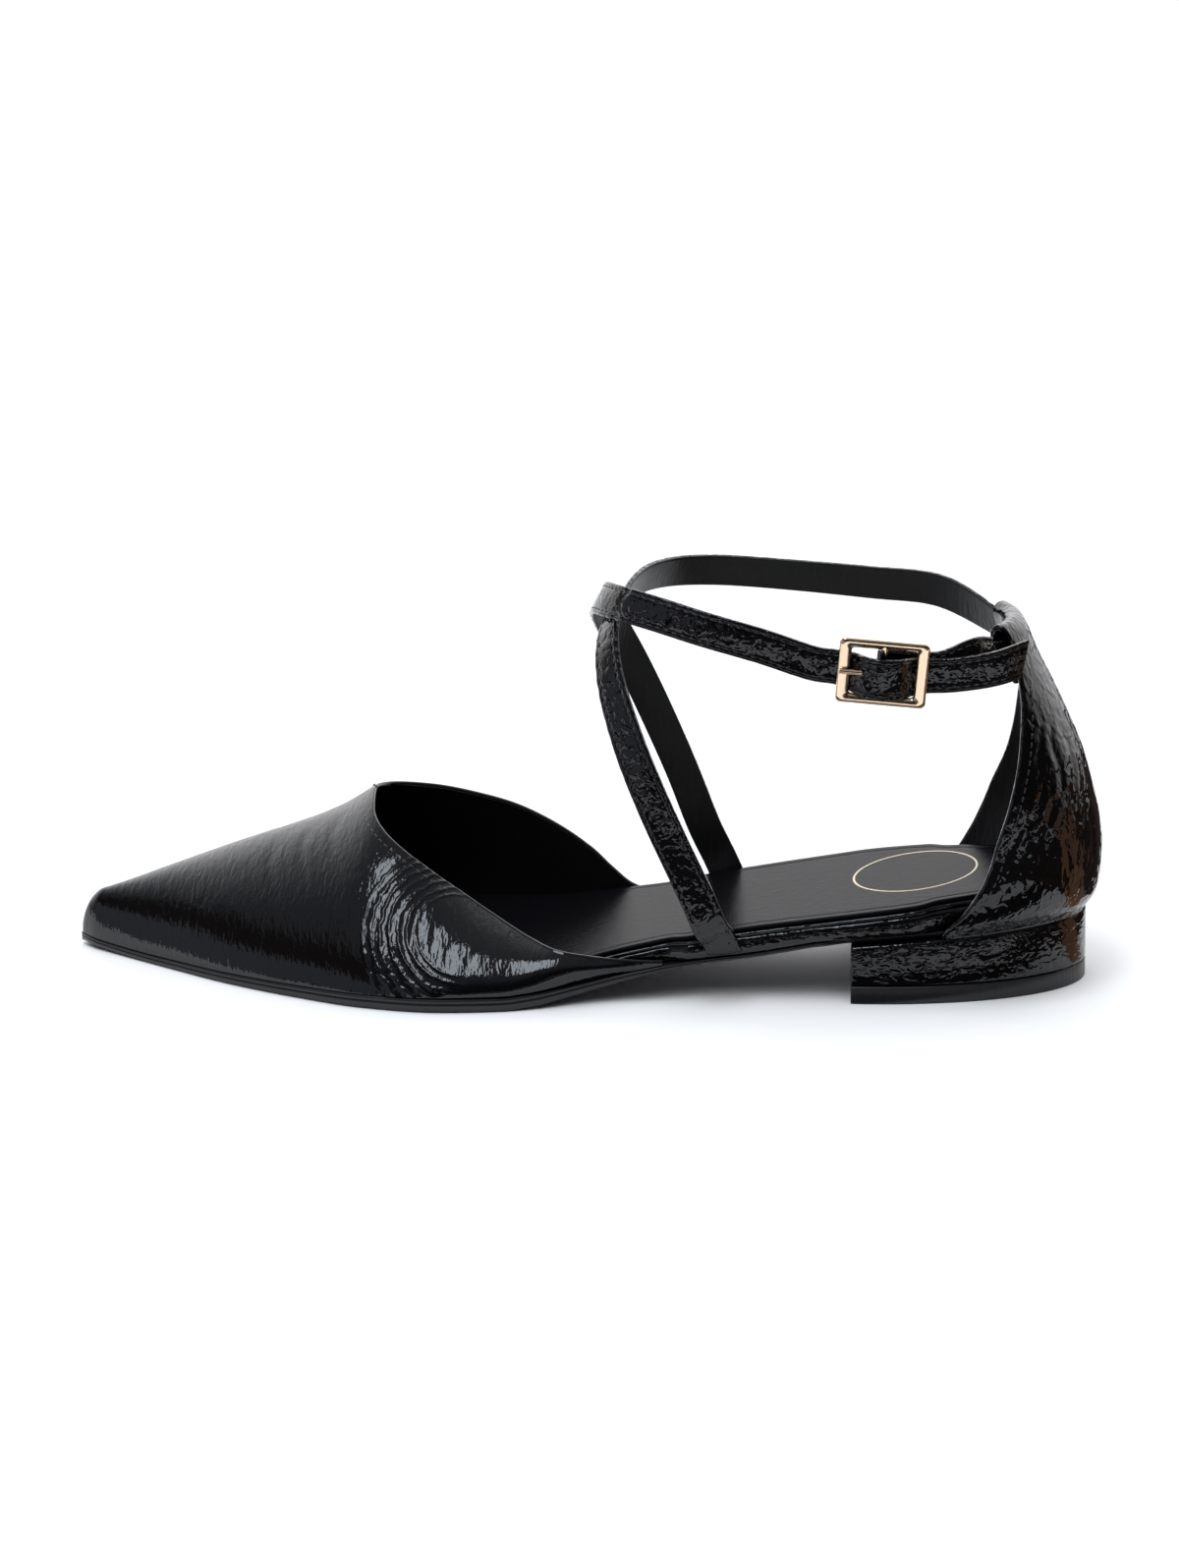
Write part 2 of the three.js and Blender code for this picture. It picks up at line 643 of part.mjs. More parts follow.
// Edge of the insole: under the upper it is set in by wall and clearance, in the open waist it shows
function insoleReach(side, x) {
  const counterEnd = counterFrontShare * shoeLength;
  const seat = 1 - THREE.MathUtils.smoothstep(x, counterEnd, openWaistShare * shoeLength);
  if (x < heelDepth) {
    const turn = (heelDepth - x) / (heelDepth - seatInset);
    const half = heelWidth / 2 - seatInset * seat;
    return half * Math.sqrt(Math.max(0, 1 - turn * turn));
  }
  const open = edgeReach(side, x, 0);
  if (x < wingTip - waistCoverLength) return open;
  const toe = shoeLength - toeDrawBack * (seatInset + upperWall);
  const under = vampInside(side, Math.max(x, wingTip), insoleTop(x)) - gap;
  const covered = Math.min(edgeReach(side, x, seatInset), under);
  const blend = THREE.MathUtils.smoothstep(x, wingTip - waistCoverLength, wingTip - 1);
  return THREE.MathUtils.lerp(open, covered, blend) * roundEnd((toe - x) / toeRadius);
}

// The leg side of a strap row, as a point of the strap's middle line
function strapRow(row) {
  const facing = new THREE.Vector3(...row.facing).normalize();
  const at = new THREE.Vector3(row.along * shoeLength, row.side * ballWidth, row.rise * ankleHeight);
  at.addScaledVector(facing, strapThickness / 2 + row.over * (strapThickness + gap));
  return { at, facing };
}

// The strap's root: a tab under the insole that turns up round its edge
function strapRoot(side, x, lean) {
  const edge = sign[side] * (insoleReach(side, x) + gap + strapThickness / 2) + axisSide(x);
  const under = soleTop(x) + rootRise + strapThickness / 2;
  const inward = (distance) => edge - sign[side] * distance;
  const slope = (soleTop(x + strapWidth / 2) - soleTop(x - strapWidth / 2)) / strapWidth;
  const down = new THREE.Vector3(slope, 0, -1).normalize();
  const out = new THREE.Vector3(0, sign[side], 0);
  const corner = down.clone().add(out).normalize();
  const row = (dx, y, z, facing) => ({ at: new THREE.Vector3(x + dx, y, z), facing });
  const upTo = insoleTop(x) - under;
  return [
    row(0, inward(strapTabLength), under, down),
    row(0, inward(strapTabLength / 2), under, down),
    row(0, inward(rootTurn), under, down),
    row(0, inward(rootTurn * 0.3), under + rootTurn * 0.3, corner),
    row(lean * rootTurn, edge, under + rootTurn, out),
    row(lean * upTo, edge, insoleTop(x), out),
  ];
}

function strapPath(rows) {
  const middle = new THREE.CatmullRomCurve3(rows.map((row) => row.at), false, 'centripetal');
  const facing = new THREE.CatmullRomCurve3(rows.map((row) => row.facing), false, 'catmullrom');
  return { middle, facing, spans: rows.length - 1 };
}

// Sections of a strap with rounded edges, set along its path
function strapLoops(rows, width, thickness, endCut = 0) {
  const { middle, facing, spans } = strapPath(rows);
  const steps = spans * strapStepsPerSpan;
  const round = thickness * 0.32;
  const section = [
    [-width / 2, -thickness / 2 + round],
    [-width / 2 + round, -thickness / 2],
    [width / 2 - round, -thickness / 2],
    [width / 2, -thickness / 2 + round],
    [width / 2, thickness / 2 - round],
    [width / 2 - round, thickness / 2],
    [-width / 2 + round, thickness / 2],
    [-width / 2, thickness / 2 - round],
  ];
  const loops = [];
  for (let i = 0; i <= steps; i += 1) {
    const t = i / steps;
    const centre = middle.getPoint(t);
    const along = middle.getTangent(t);
    const out = facing.getPoint(t);
    out.addScaledVector(along, -out.dot(along)).normalize();
    const across = new THREE.Vector3().crossVectors(along, out);
    const skew = i === steps ? endCut : 0;
    loops.push(section.map(([a, b]) => centre.clone()
      .addScaledVector(across, a)
      .addScaledVector(out, b)
      .addScaledVector(along, skew * (a / width))));
  }
  return loops;
}

// The buckle's own frame: X forward along the strap, Y up across it, Z outward
function buckleFrame() {
  const place = new THREE.Object3D();
  place.position.set(
    bucklePlace.along * shoeLength,
    bucklePlace.side * ballWidth,
    bucklePlace.rise * ankleHeight,
  );
  const pitch = THREE.MathUtils.degToRad(bucklePlace.pitch);
  const yaw = THREE.MathUtils.degToRad(bucklePlace.yaw);
  const forward = new THREE.Vector3(Math.cos(pitch) * Math.cos(yaw), Math.sin(yaw), Math.sin(pitch));
  const out = new THREE.Vector3(-Math.sin(yaw), Math.cos(yaw), 0);
  const up = new THREE.Vector3().crossVectors(out, forward);
  place.quaternion.setFromRotationMatrix(new THREE.Matrix4().makeBasis(forward, up, out));
  place.updateMatrixWorld(true);
  return place;
}

const buckle = buckleFrame();
const buckleOut = new THREE.Vector3().setFromMatrixColumn(buckle.matrixWorld, 2);

// A strap row in the buckle's frame: along it, and how far out of its plane
function buckleRow(along, out) {
  const at = new THREE.Vector3(along, 0, out).applyMatrix4(buckle.matrixWorld);
  return { at, facing: buckleOut.clone() };
}

const barMiddle = buckleLength / 2 - buckleSideBar / 2;
const windowEnd = buckleLength / 2 - buckleSideBar - gap / 2;
const underBar = -(buckleThickness / 2 + gap + strapThickness / 2);
const wrapRadius = barRadius + gap + strapThickness / 2;
const overWrap = wrapRadius + strapThickness + gap;

// The long strap: under the toe side bar, over the wrapped centre bar, under the heel side bar
function longStrapRows() {
  return [
    ...strapRoot('inner', longStrapRootShare * shoeLength, longStrapLean),
    ...longStrapRise.map(strapRow),
    buckleRow(barMiddle + strapFall, underBar + strapEase),
    buckleRow(barMiddle + strapLevel, underBar),
    buckleRow(windowEnd, underBar),
    buckleRow(windowEnd * 0.45, overWrap * 0.82),
    buckleRow(0, overWrap),
    buckleRow(-windowEnd * 0.45, overWrap * 0.82),
    buckleRow(-windowEnd, underBar),
    buckleRow(-barMiddle - strapLevel, underBar),
    buckleRow(-barMiddle - strapFall, underBar - strapEase),
    ...freeEndRise.map(strapRow),
  ];
}

// The loop strap: under the crossing, round the inner side, through the counter's loop, and round
// the buckle's centre bar from inside
function loopStrapRows() {
  const inside = underBar - strapThickness - 2 * gap;
  const turned = (degrees) => {
    const angle = THREE.MathUtils.degToRad(degrees);
    const { at } = buckleRow(Math.sin(angle) * wrapRadius, -Math.cos(angle) * wrapRadius);
    const facing = new THREE.Vector3(-Math.sin(angle), 0, Math.cos(angle));
    return { at, facing: facing.transformDirection(buckle.matrixWorld) };
  };
  return [
    ...strapRoot('outer', strapRootShare * shoeLength, loopStrapLean),
    ...loopStrapRise.map(strapRow),
    ...tunnelRows(),
    strapRow(loopReturn),
    buckleRow(-barMiddle - strapFall, inside - strapEase),
    buckleRow(-barMiddle, inside),
    buckleRow(-barMiddle * 0.5, inside * 0.45 - wrapRadius * 0.55),
    ...wrapTurns.map(turned),
  ];
}

// The counter as rows of points: out of its plane it leans forward as it rises
function counterPoint(row, angle) {
  const x = row.back + row.depth * (1 - Math.cos(angle));
  const y = row.half * Math.sin(angle);
  const seat = THREE.MathUtils.clamp(1 - (row.z - heelBackHeight) / (heelBackHeight * 1.2), 0, 1);
  const drop = (heelTop(x) - heelBackHeight) * seat;
  return new THREE.Vector3(x, y, row.z + drop);
}

function counterSizes() {
  const rows = counterRows.map((row) => ({
    z: row.rise * counterHeight,
    back: row.back * counterHeight,
    depth: row.depth * heelWidth,
    half: row.half * heelWidth,
    outer: row.outer,
    inner: row.inner,
  }));
  rows[0].z = heelBackHeight + gap;
  return rows;
}

// The loop's middle line: up the back, over the fold and down inside, in the plane of the tilt
function loopSizes() {
  const last = counterSizes().at(-1);
  const lean = new THREE.Vector2(-tunnelTilt[0], tunnelTilt[2]).normalize();
  const up = new THREE.Vector2(lean.y, lean.x);
  const forward = new THREE.Vector2(lean.x, -lean.y);
  const fold = loopDepth / 2;
  const straight = strapWidth + 2 * gap + loopRoom - fold * 0.6;
  const row = (rise, ahead) => ({
    z: last.z + up.y * rise + forward.y * ahead,
    back: last.back + up.x * rise + forward.x * ahead,
    depth: last.depth - ahead * loopTaper,
    half: last.half - ahead * loopTaper,
    outer: loopHalfAngle,
    inner: loopHalfAngle,
  });
  const folded = foldTurns.map((degrees) => {
    const angle = THREE.MathUtils.degToRad(degrees);
    return row(straight + fold * Math.sin(angle), fold * (1 - Math.cos(angle)));
  });
  return [
    row(straight * 0.5, 0),
    row(straight, 0),
    ...folded,
    row(straight, loopDepth),
    row(straight * 0.5, loopDepth),
    row(0, loopDepth),
    row(-fold * 1.1, loopDepth * 0.86),
  ];
}

// The loop strap's middle line inside the tunnel
function tunnelRows() {
  const last = counterSizes().at(-1);
  const tilt = new THREE.Vector3(...tunnelTilt).normalize();
  const rise = strapWidth / 2 + gap;
  const ahead = upperWall + loopSpace / 2;
  return [-1, -0.5, 0, 0.5, 1].map((share) => {
    const angle = THREE.MathUtils.degToRad(share * (loopHalfAngle + tunnelOverrun));
    const cos = Math.cos(angle);
    const sin = Math.sin(angle);
    const depth = last.depth - ahead;
    const x = last.back + tilt.z * rise - tilt.x * ahead + depth * (1 - cos);
    const at = new THREE.Vector3(x, depth * sin, last.z - tilt.x * rise - tilt.z * ahead);
    return { at, facing: new THREE.Vector3(tilt.x * cos, -tilt.x * sin, tilt.z * cos).normalize() };
  });
}

function counterSolid() {
  const sizes = [...counterSizes(), ...loopSizes()];
  const angleAt = (row, j) => {
    const t = (2 * j) / counterColumns - 1;
    return THREE.MathUtils.degToRad(t * (t > 0 ? row.outer : row.inner));
  };
  const outside = sizes.map((row) => {
    const line = [];
    for (let j = 0; j <= counterColumns; j += 1) line.push(counterPoint(row, angleAt(row, j)));
    return line;
  });
  const inside = outside.map((line, i) => line.map((point, j) => {
    const before = outside[Math.max(0, i - 1)][j];
    const after = outside[Math.min(outside.length - 1, i + 1)][j];
    const left = line[Math.max(0, j - 1)];
    const right = line[Math.min(line.length - 1, j + 1)];
    const rise = after.clone().sub(before);
    const across = right.clone().sub(left);
    const normal = new THREE.Vector3().crossVectors(across, rise).normalize();
    if (i === 0) normal.setZ(0).normalize();
    return point.clone().addScaledVector(normal, upperWall);
  }));
  return wall(outside, inside);
}

function roundedRectangle(shape, length, height, radius) {
  const x = length / 2;
  const y = height / 2;
  shape.moveTo(-x + radius, -y);
  shape.lineTo(x - radius, -y);
  shape.absarc(x - radius, -y + radius, radius, -Math.PI / 2, 0, false);
  shape.lineTo(x, y - radius);
  shape.absarc(x - radius, y - radius, radius, 0, Math.PI / 2, false);
  shape.lineTo(-x + radius, y);
  shape.absarc(-x + radius, y - radius, radius, Math.PI / 2, Math.PI, false);
  shape.lineTo(-x, -y + radius);
  shape.absarc(-x + radius, -y + radius, radius, Math.PI, 1.5 * Math.PI, false);
  return shape;
}

function buckleSolid() {
  const length = buckleLength - 2 * buckleBevel;
  const height = buckleHeight - 2 * buckleBevel;
  const outline = roundedRectangle(new THREE.Shape(), length, height, buckleCorner);
  const windowLength = buckleLength - 2 * buckleSideBar + 2 * buckleBevel;
  const windowHeight = buckleHeight - 2 * buckleLongBar + 2 * buckleBevel;
  outline.holes.push(roundedRectangle(new THREE.Path(), windowLength, windowHeight, buckleCorner * 0.8));
  const frame = new THREE.ExtrudeGeometry(outline, {
    depth: buckleThickness - 2 * buckleBevel,
    bevelEnabled: true,
    bevelThickness: buckleBevel,
    bevelSize: buckleBevel,
    bevelSegments: 1,
    curveSegments: 2,
  });
  frame.translate(0, 0, -buckleThickness / 2 + buckleBevel);
  const bar = new THREE.CylinderGeometry(barRadius, barRadius, buckleHeight - buckleLongBar, 12);
  return toManifold(frame).add(toManifold(bar));
}

// The prong: a ring round the centre bar and a pin that rests on the toe side bar
const prongRise = barRadius + gap + prongRadius;
const prongReach = barMiddle + buckleSideBar * 0.35;

function pinSolid(extra) {
  const rest = buckleThickness / 2 + gap + prongRadius;
  const route = new THREE.CatmullRomCurve3([
    new THREE.Vector3(0, 0, prongRise),
    new THREE.Vector3(prongReach * 0.4, 0, prongRise * 0.75 + rest * 0.25),
    new THREE.Vector3(prongReach * 0.75, 0, rest),
    new THREE.Vector3(prongReach + extra, 0, rest),
  ]);
  const round = new THREE.Shape();
  round.absarc(0, 0, prongRadius + extra, 0, 2 * Math.PI, false);
  const pin = { steps: 5, curveSegments: 6, bevelEnabled: false, extrudePath: route };
  return toManifold(new THREE.ExtrudeGeometry(round, pin));
}

function prongSolid() {
  const ring = new THREE.TorusGeometry(prongRise, prongRadius, 6, 14);
  ring.rotateX(Math.PI / 2);
  return toManifold(ring).add(pinSolid(0));
}

// The slot in the loop strap's turned end, where the prong's ring sits
function prongSlot() {
  const radius = prongRise + prongRadius + gap;
  return toManifold(new THREE.CylinderGeometry(radius, radius, 2 * (prongRadius + gap), 16));
}

// A hole of the long strap, at a distance behind or ahead of the buckle along the strap's middle
function strapHole(rows, share) {
  const { middle, facing } = strapPath(rows);
  const centre = middle.getPoint(share);
  const out = facing.getPoint(share).normalize();
  const pin = new THREE.CylinderGeometry(strapHoleRadius, strapHoleRadius, strapThickness * 3, 8);
  pin.applyQuaternion(new THREE.Quaternion().setFromUnitVectors(new THREE.Vector3(0, 1, 0), out));
  pin.translate(centre.x, centre.y, centre.z);
  return toManifold(pin);
}

// Share of a path that lies a distance before its row
function shareBefore(rows, rowIndex, distance) {
  const { middle, spans } = strapPath(rows);
  const start = middle.getPoint(rowIndex / spans);
  let share = rowIndex / spans;
  let travelled = 0;
  let last = start;
  const step = 1e-4;
  while (travelled < distance && share > step) {
    share -= step;
    const here = middle.getPoint(share);
    travelled += here.distanceTo(last);
    last = here;
  }
  return share;
}

const patentBlack = new THREE.Color(0x0c0c0e);
const liningBlack = new THREE.Color(0x101012);
const rubberBlack = new THREE.Color(0x151516);
const paleGold = new THREE.Color(0xe3c08c);

function material(color, roughness, metalness = 0) {
  return new THREE.MeshStandardMaterial({ color, roughness, metalness });
}

const shoe = new THREE.Group();

function addPiece(name, geometry, surface) {
  geometry.computeVertexNormals();
  const mesh = new THREE.Mesh(geometry, surface);
  mesh.name = name;
  shoe.add(mesh);
  return mesh;
}

// Heel
const heelRows = stationsBetween(0, heelDepth * 2, heelSteps).filter((x) => x < heelDepth - 1);
const heelStations = [endSliver, ...heelRows.slice(1), heelDepth];

function liftPiece() {
  return plate({
    stations: heelStations,
    edge: (side, x) => edgeReach(side, x, 0) + liftProud * Math.min(1, x),
    bottom: () => 0,
    top: () => liftHeight,
    rim: liftRim,
  });
}

function heelPiece() {
  return plate({
    stations: heelStations,
    edge: (side, x) => edgeReach(side, x, 0),
    bottom: () => liftHeight + gap,
    top: heelTop,
    rim: heelRim,
  });
}

// Sole, insole and sock
function outsoleReach(side, x) {
  const seat = seatInset + gap;
  if (x < heelDepth) return edgeReach(side, x, seat);
  const opening = THREE.MathUtils.smoothstep(x, heelDepth, heelDepth + waistOpeningLength);
  const spread = THREE.MathUtils.smoothstep(x / shoeLength, lipStartShare, lipEndShare);
  const nose = THREE.MathUtils.smoothstep(x / shoeLength, toeLipShare, 1);
  const waist = THREE.MathUtils.lerp(seat, waistInset, opening);
  const lip = THREE.MathUtils.lerp(soleLip, toeLip, nose);
  const inset = THREE.MathUtils.lerp(waist, -lip, spread);
  return edgeReach(side, x, inset);
}

function outsolePiece() {
  const start = seatInset + gap + endSliver;
  const end = shoeLength + toeDrawBack * toeLip - endSliver;
  return plate({
    stations: stationsBetween(start, end, outsoleSteps),
    edge: outsoleReach,
    bottom: soleBottom,
    top: soleTop,
    rim: outsoleRim,
  });
}

function insolePiece(straps) {
  const start = seatInset + endSliver;
  const end = shoeLength - toeDrawBack * (seatInset + upperWall) - endSliver;
  const stations = [...stationsBetween(start, end, insoleSteps), wingTip - waistCoverLength, wingTip - 1];
  const board = plate({
    stations: stations.sort((a, b) => a - b),
    edge: insoleReach,
    bottom: (x) => soleTop(x) + gap,
    top: insoleTop,
    rim: insoleRim,
  });
  return straps.reduce((solid, strap) => solid.subtract(strap), toManifold(board));
}

function sockPiece() {
  const start = seatInset + sockInset + endSliver;
  const end = shoeLength - toeDrawBack * (seatInset + upperWall + sockInset) - endSliver;
  const reach = (side, x) => {
    const edge = insoleReach(side, x) - sockInset;
    if (x >= heelDepth) return edge * roundEnd((end + endSliver - x) / toeRadius);
    const turn = (heelDepth - x) / (heelDepth - seatInset - sockInset);
    const seat = (heelWidth / 2 - sockInset) * Math.sqrt(Math.max(0, 1 - turn * turn));
    return Math.min(edge, seat);
  };
  return plate({
    stations: stationsBetween(start, end, sockSteps),
    edge: (side, x) => Math.max(gap, reach(side, x)),
    bottom: (x) => insoleTop(x) + gap,
    top: footbedTop,
    rim: sockRim,
  });
}

// Straps
const longRows = longStrapRows();
const loopRows = loopStrapRows();
const toeBar = buckleRow(windowEnd, underBar).at;
const buckleIndex = longRows.findIndex((row) => row.at.distanceTo(toeBar) < 1e-6);

function inBuckle(solid) {
  return toManifold(toGeometry(solid).applyMatrix4(buckle.matrixWorld));
}

const longLoops = strapLoops(longRows, strapWidth, strapThickness, freeEndCut);
let longStrap = toManifold(loft(longLoops)).subtract(inBuckle(pinSolid(gap)));
for (const count of [1, 2]) {
  const share = shareBefore(longRows, buckleIndex, count * strapHolePitch);
  longStrap = longStrap.subtract(strapHole(longRows, share));
}
const loopLoops = strapLoops(loopRows, strapWidth, strapThickness);
const loopStrap = toManifold(loft(loopLoops)).subtract(inBuckle(prongSlot()));

// The room a strap's root takes in the insole, which starts a little beyond its tab
function rootRoom(rows) {
  const root = rows.slice(0, 9);
  const inward = rows[0].at.clone().sub(rows[1].at).normalize();
  root[0] = { at: rows[0].at.clone().addScaledVector(inward, gap), facing: rows[0].facing };
  const loops = strapLoops(root, strapWidth + 2 * gap, strapThickness + 2 * gap);
  const hull = (loop, i) => new ConvexGeometry([...loops[i], ...loops[i + 1], ...loop]);
  return loops.slice(2).map(hull).map(toManifold).reduce((room, length) => room.add(length));
}

const rootRooms = [rootRoom(longRows), rootRoom(loopRows)];
const patent = material(patentBlack, patentRoughness);
const rubber = material(rubberBlack, 0.45);
const gold = material(paleGold, 0.2, 1);

addPiece('outsole', outsolePiece(), rubber);
addPiece('heel_lift', liftPiece(), rubber);
addPiece('heel_block', heelPiece(), patent);
addPiece('insole_board', toGeometry(insolePiece(rootRooms)), patent);
addPiece('sock_lining', sockPiece(), material(liningBlack, 0.5));
addPiece('vamp', vampSolid(), patent);
addPiece('counter', counterSolid(), patent);
addPiece('long_strap', toGeometry(longStrap), patent);
addPiece('loop_strap', toGeometry(loopStrap), patent);
addPiece('buckle_frame', toGeometry(inBuckle(buckleSolid())), gold);
addPiece('buckle_prong', toGeometry(inBuckle(prongSolid())), gold);

shoe.position.x = -heelDepth / 2;
shoe.updateMatrixWorld(true);

export default shoe;
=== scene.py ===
"""Visual model of a left pointed toe flat shoe with crossing ankle straps.

Shapes are worked out in millimetres from the heel's back, and each piece is placed in the frame in metres.
"""
import math

import bmesh
import bpy
import numpy as np
from mathutils import Matrix, Vector


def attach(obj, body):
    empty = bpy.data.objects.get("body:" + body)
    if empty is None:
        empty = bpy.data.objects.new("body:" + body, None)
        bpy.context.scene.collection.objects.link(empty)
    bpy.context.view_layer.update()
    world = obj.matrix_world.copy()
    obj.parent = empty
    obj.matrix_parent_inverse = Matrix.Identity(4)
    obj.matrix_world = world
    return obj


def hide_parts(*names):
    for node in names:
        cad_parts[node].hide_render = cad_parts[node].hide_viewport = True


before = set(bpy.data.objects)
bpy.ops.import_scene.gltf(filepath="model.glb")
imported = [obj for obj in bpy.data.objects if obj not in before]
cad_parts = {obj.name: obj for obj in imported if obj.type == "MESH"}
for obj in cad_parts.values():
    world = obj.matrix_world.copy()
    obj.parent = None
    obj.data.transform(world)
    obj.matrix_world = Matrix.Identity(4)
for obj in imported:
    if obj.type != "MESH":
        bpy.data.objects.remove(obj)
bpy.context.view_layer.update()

# Sizes of the last and the sole
MM = 0.001
SHOE_LENGTH = 262.0
BALL_WIDTH = 80.0
TOE_DRIFT = 5.0
TOE_RADIUS = 5.0
TOE_DRAW_BACK = 2.1
TOE_SPRING = 1.2
HEEL_WIDTH = 56.6
HEEL_DEPTH = 58.5
HEEL_BREAST = 14.9
HEEL_BACK = 18.7
LIFT_HEIGHT = 4.6
LIFT_PROUD = 0.25
THROAT_HEIGHT = 43.4
COUNTER_HEIGHT = 100.0
ANKLE_HEIGHT = 100.0
NOSE_LENGTH = 6.0
END_SLIVER = 0.15

# Walls and clearances
GAP = 0.3
WALL = 1.7
FORE_SOLE = 3.6
TOE_SOLE = 2.1
WAIST_SOLE = 1.3
SOLE_LIP = 0.7
TOE_LIP_START = 0.9
SEAT_OPENING = 8.0
SPREAD_BEFORE = 0.03
SPREAD_AFTER = 0.02
TOE_LIP = 0.15
WAIST_INSET = 0.8
SEAT_INSET = WALL + GAP
WAIST_COVER = 7.0
SOCK = 0.8
SOCK_INSET = 1.2
SOCK_LEAST = 0.3
SOCK_UNDER = (-0.8, -0.3, 0.3, 0.8)

# Straps and buckle
STRAP_WIDTH = 9.0
STRAP_THICK = 1.4
TAB_LENGTH = 10.0
FREE_END_CUT = -4.7
HOLE_PITCH = 8.0
HOLE_RADIUS = 0.9
BUCKLE_LENGTH = 22.4
BUCKLE_HEIGHT = 16.6
BUCKLE_SIDE_BAR = 3.1
BUCKLE_LONG_BAR = 2.4
BUCKLE_THICK = 2.0
BAR_RADIUS = 0.9
PRONG_RADIUS = 0.65
BAR_MIDDLE = BUCKLE_LENGTH / 2 - BUCKLE_SIDE_BAR / 2
WINDOW_END = BUCKLE_LENGTH / 2 - BUCKLE_SIDE_BAR - GAP / 2
UNDER_BAR = -(BUCKLE_THICK / 2 + GAP + STRAP_THICK / 2)
WRAP_RADIUS = BAR_RADIUS + GAP + STRAP_THICK / 2
OVER_WRAP = WRAP_RADIUS + STRAP_THICK + GAP
BUCKLE_CORNER = 1.4
WINDOW_CORNER = 0.8
CORNER_STEPS = 8
ROOT_RISE = 1.4 * GAP
ROOT_TURN = 1.1 * STRAP_THICK
LONG_STRAP_LEAN = 0.475
LOOP_STRAP_LEAN = 0.38
FREE_END_ROOM = 9.0
WRAP_LIFT = 0.6
HUMP_DROP = 0.85
HUMP_STEEP = 0.85
HUMP_CORNER = 0.82
BUCKLE_RUN = 6.0
RUN_DROP = 0.3
HUMP_SHOULDER = 0.45 * WINDOW_END
HUMP_SPREAD = 0.17
HUMP_REACH = 9.0

# Places along the shoe, most of them shares of its length
WING_TIP = 0.405 * SHOE_LENGTH
THROAT = 0.705 * SHOE_LENGTH
COUNTER_FRONT = 0.137 * SHOE_LENGTH
OPEN_WAIST = 0.16 * SHOE_LENGTH
WAIST_END_SHARE = 0.375
BALL_START_SHARE = 0.55
BALL_MIDDLE_SHARE = 0.62
BALL_START = BALL_START_SHARE * SHOE_LENGTH
BALL_END = 0.905 * SHOE_LENGTH
STRAP_ROOT = 0.344 * SHOE_LENGTH
LONG_STRAP_ROOT = 0.3525 * SHOE_LENGTH
INSOLE_TOE = SHOE_LENGTH - TOE_DRAW_BACK * (SEAT_INSET + WALL)
SOCK_TOE = SHOE_LENGTH - TOE_DRAW_BACK * (SEAT_INSET + WALL + SOCK_INSET)
SIGN = {"outer": 1.0, "inner": -1.0}

# The counter's loop, its angles in degrees
LOOP_SPACE = STRAP_THICK + 3.4 * GAP
LOOP_DEPTH = LOOP_SPACE + 2 * WALL
LOOP_HALF_ANGLE = 31.0
LOOP_TAPER = 0.9
TUNNEL_ROOM = 9.0
SEAT_BLEND = 1.2
COUNTER_SHARE = 0.66

# Steps of the meshes, and a direction that no round bar runs along
TUBE_START = (0.3, 0.9, 0.2)
EASE_STEPS = 1200
WING_STEPS = 170
FRONT_STEPS = 160
HALF_STEPS = 64
COUNTER_STEPS = 230
COUNTER_COLUMNS = 150
COUNTER_BLUR = 3
PATH_STEPS = 6000
PATH_BLUR = 4
STRAP_STEP = 0.5
HEEL_STEPS = 220
SOLE_STEPS = 420
SOCK_STEPS = 360
PLATE_STEPS = 10
ROLL_STEPS = 8
RING_STEPS = 180

# Edges: how far they bulge, the distances that are welded, and the two material places of leather
TOPLINE_BULGE = 0.85
SHELL_BULGE = 0.8
MOST_INSET = 0.4
BREAST_ROUND = 0.5
BREAST_STATIONS = (0.5, 0.15, 0)
BREAST_ROOM = 0.6
LIFT_ROUND = 0.4
LOFT_WELD = 1e-4
SHEET_WELD = 1e-3
VAMP_WELD = 2e-3
FACE = 0
LINED = 1

# Creases
CREASE_RIDGE = 0.45
CREASE_RIDGE_AT = 1.9
CREASE_BEND = 0.02
CREASE_LEAN = 0.35
CREASE_DEPTH = 0.1
CREASE_WIDTH = 1.0
SWAY_WAVE = 4

# Stitches: each thread's places along it and its girth there, as shares
STITCH_PITCH = 2.3
STITCH_LENGTH = 1.55
STITCH_INSET = 1.45
TOPLINE_STITCH = 2.3
COUNTER_STITCH = 2.2
THREAD_RADIUS = 0.27
THREAD_SINK = 0.1
THREAD_AIM = 0.4
STRAP_THREAD_BED = 0.1
TOPLINE_THREAD_BED = 0.06
THREAD_SIDES = 6
THREAD_SHAPE = ((-0.5, 0.25), (-0.42, 0.8), (-0.2, 1.0), (0.2, 1.0), (0.42, 0.8), (0.5, 0.25))
TOPLINE_UNSEWN = 24
COUNTER_UNSEWN = 4
STRAP_UNSEWN = 13
LONG_END_UNSEWN = 4
LOOP_END_UNSEWN = 9

# The sock: its pressed line, its turned down edge and its printed ring
SOCK_FLAT = 24.0
SOCK_LINES = (1.1, 2.1, 2.5, 2.8, 3.1, 3.5, 4.6, 6.5, 9.0, 13.0, 18.0)
SOCK_RIM = ((0.2, -SOCK), (0, -SOCK * 0.4), (0.1, -0.12), (0.35, 0.0))
PRESS_DEPTH = 0.13
PRESS_AT = 2.8
PRESS_WIDTH = 0.22
RING_AT = (43.8, -3.4)
RING_RADIUS = 15.75
RING_LINE = 0.55
RING_LIFT = 0.04

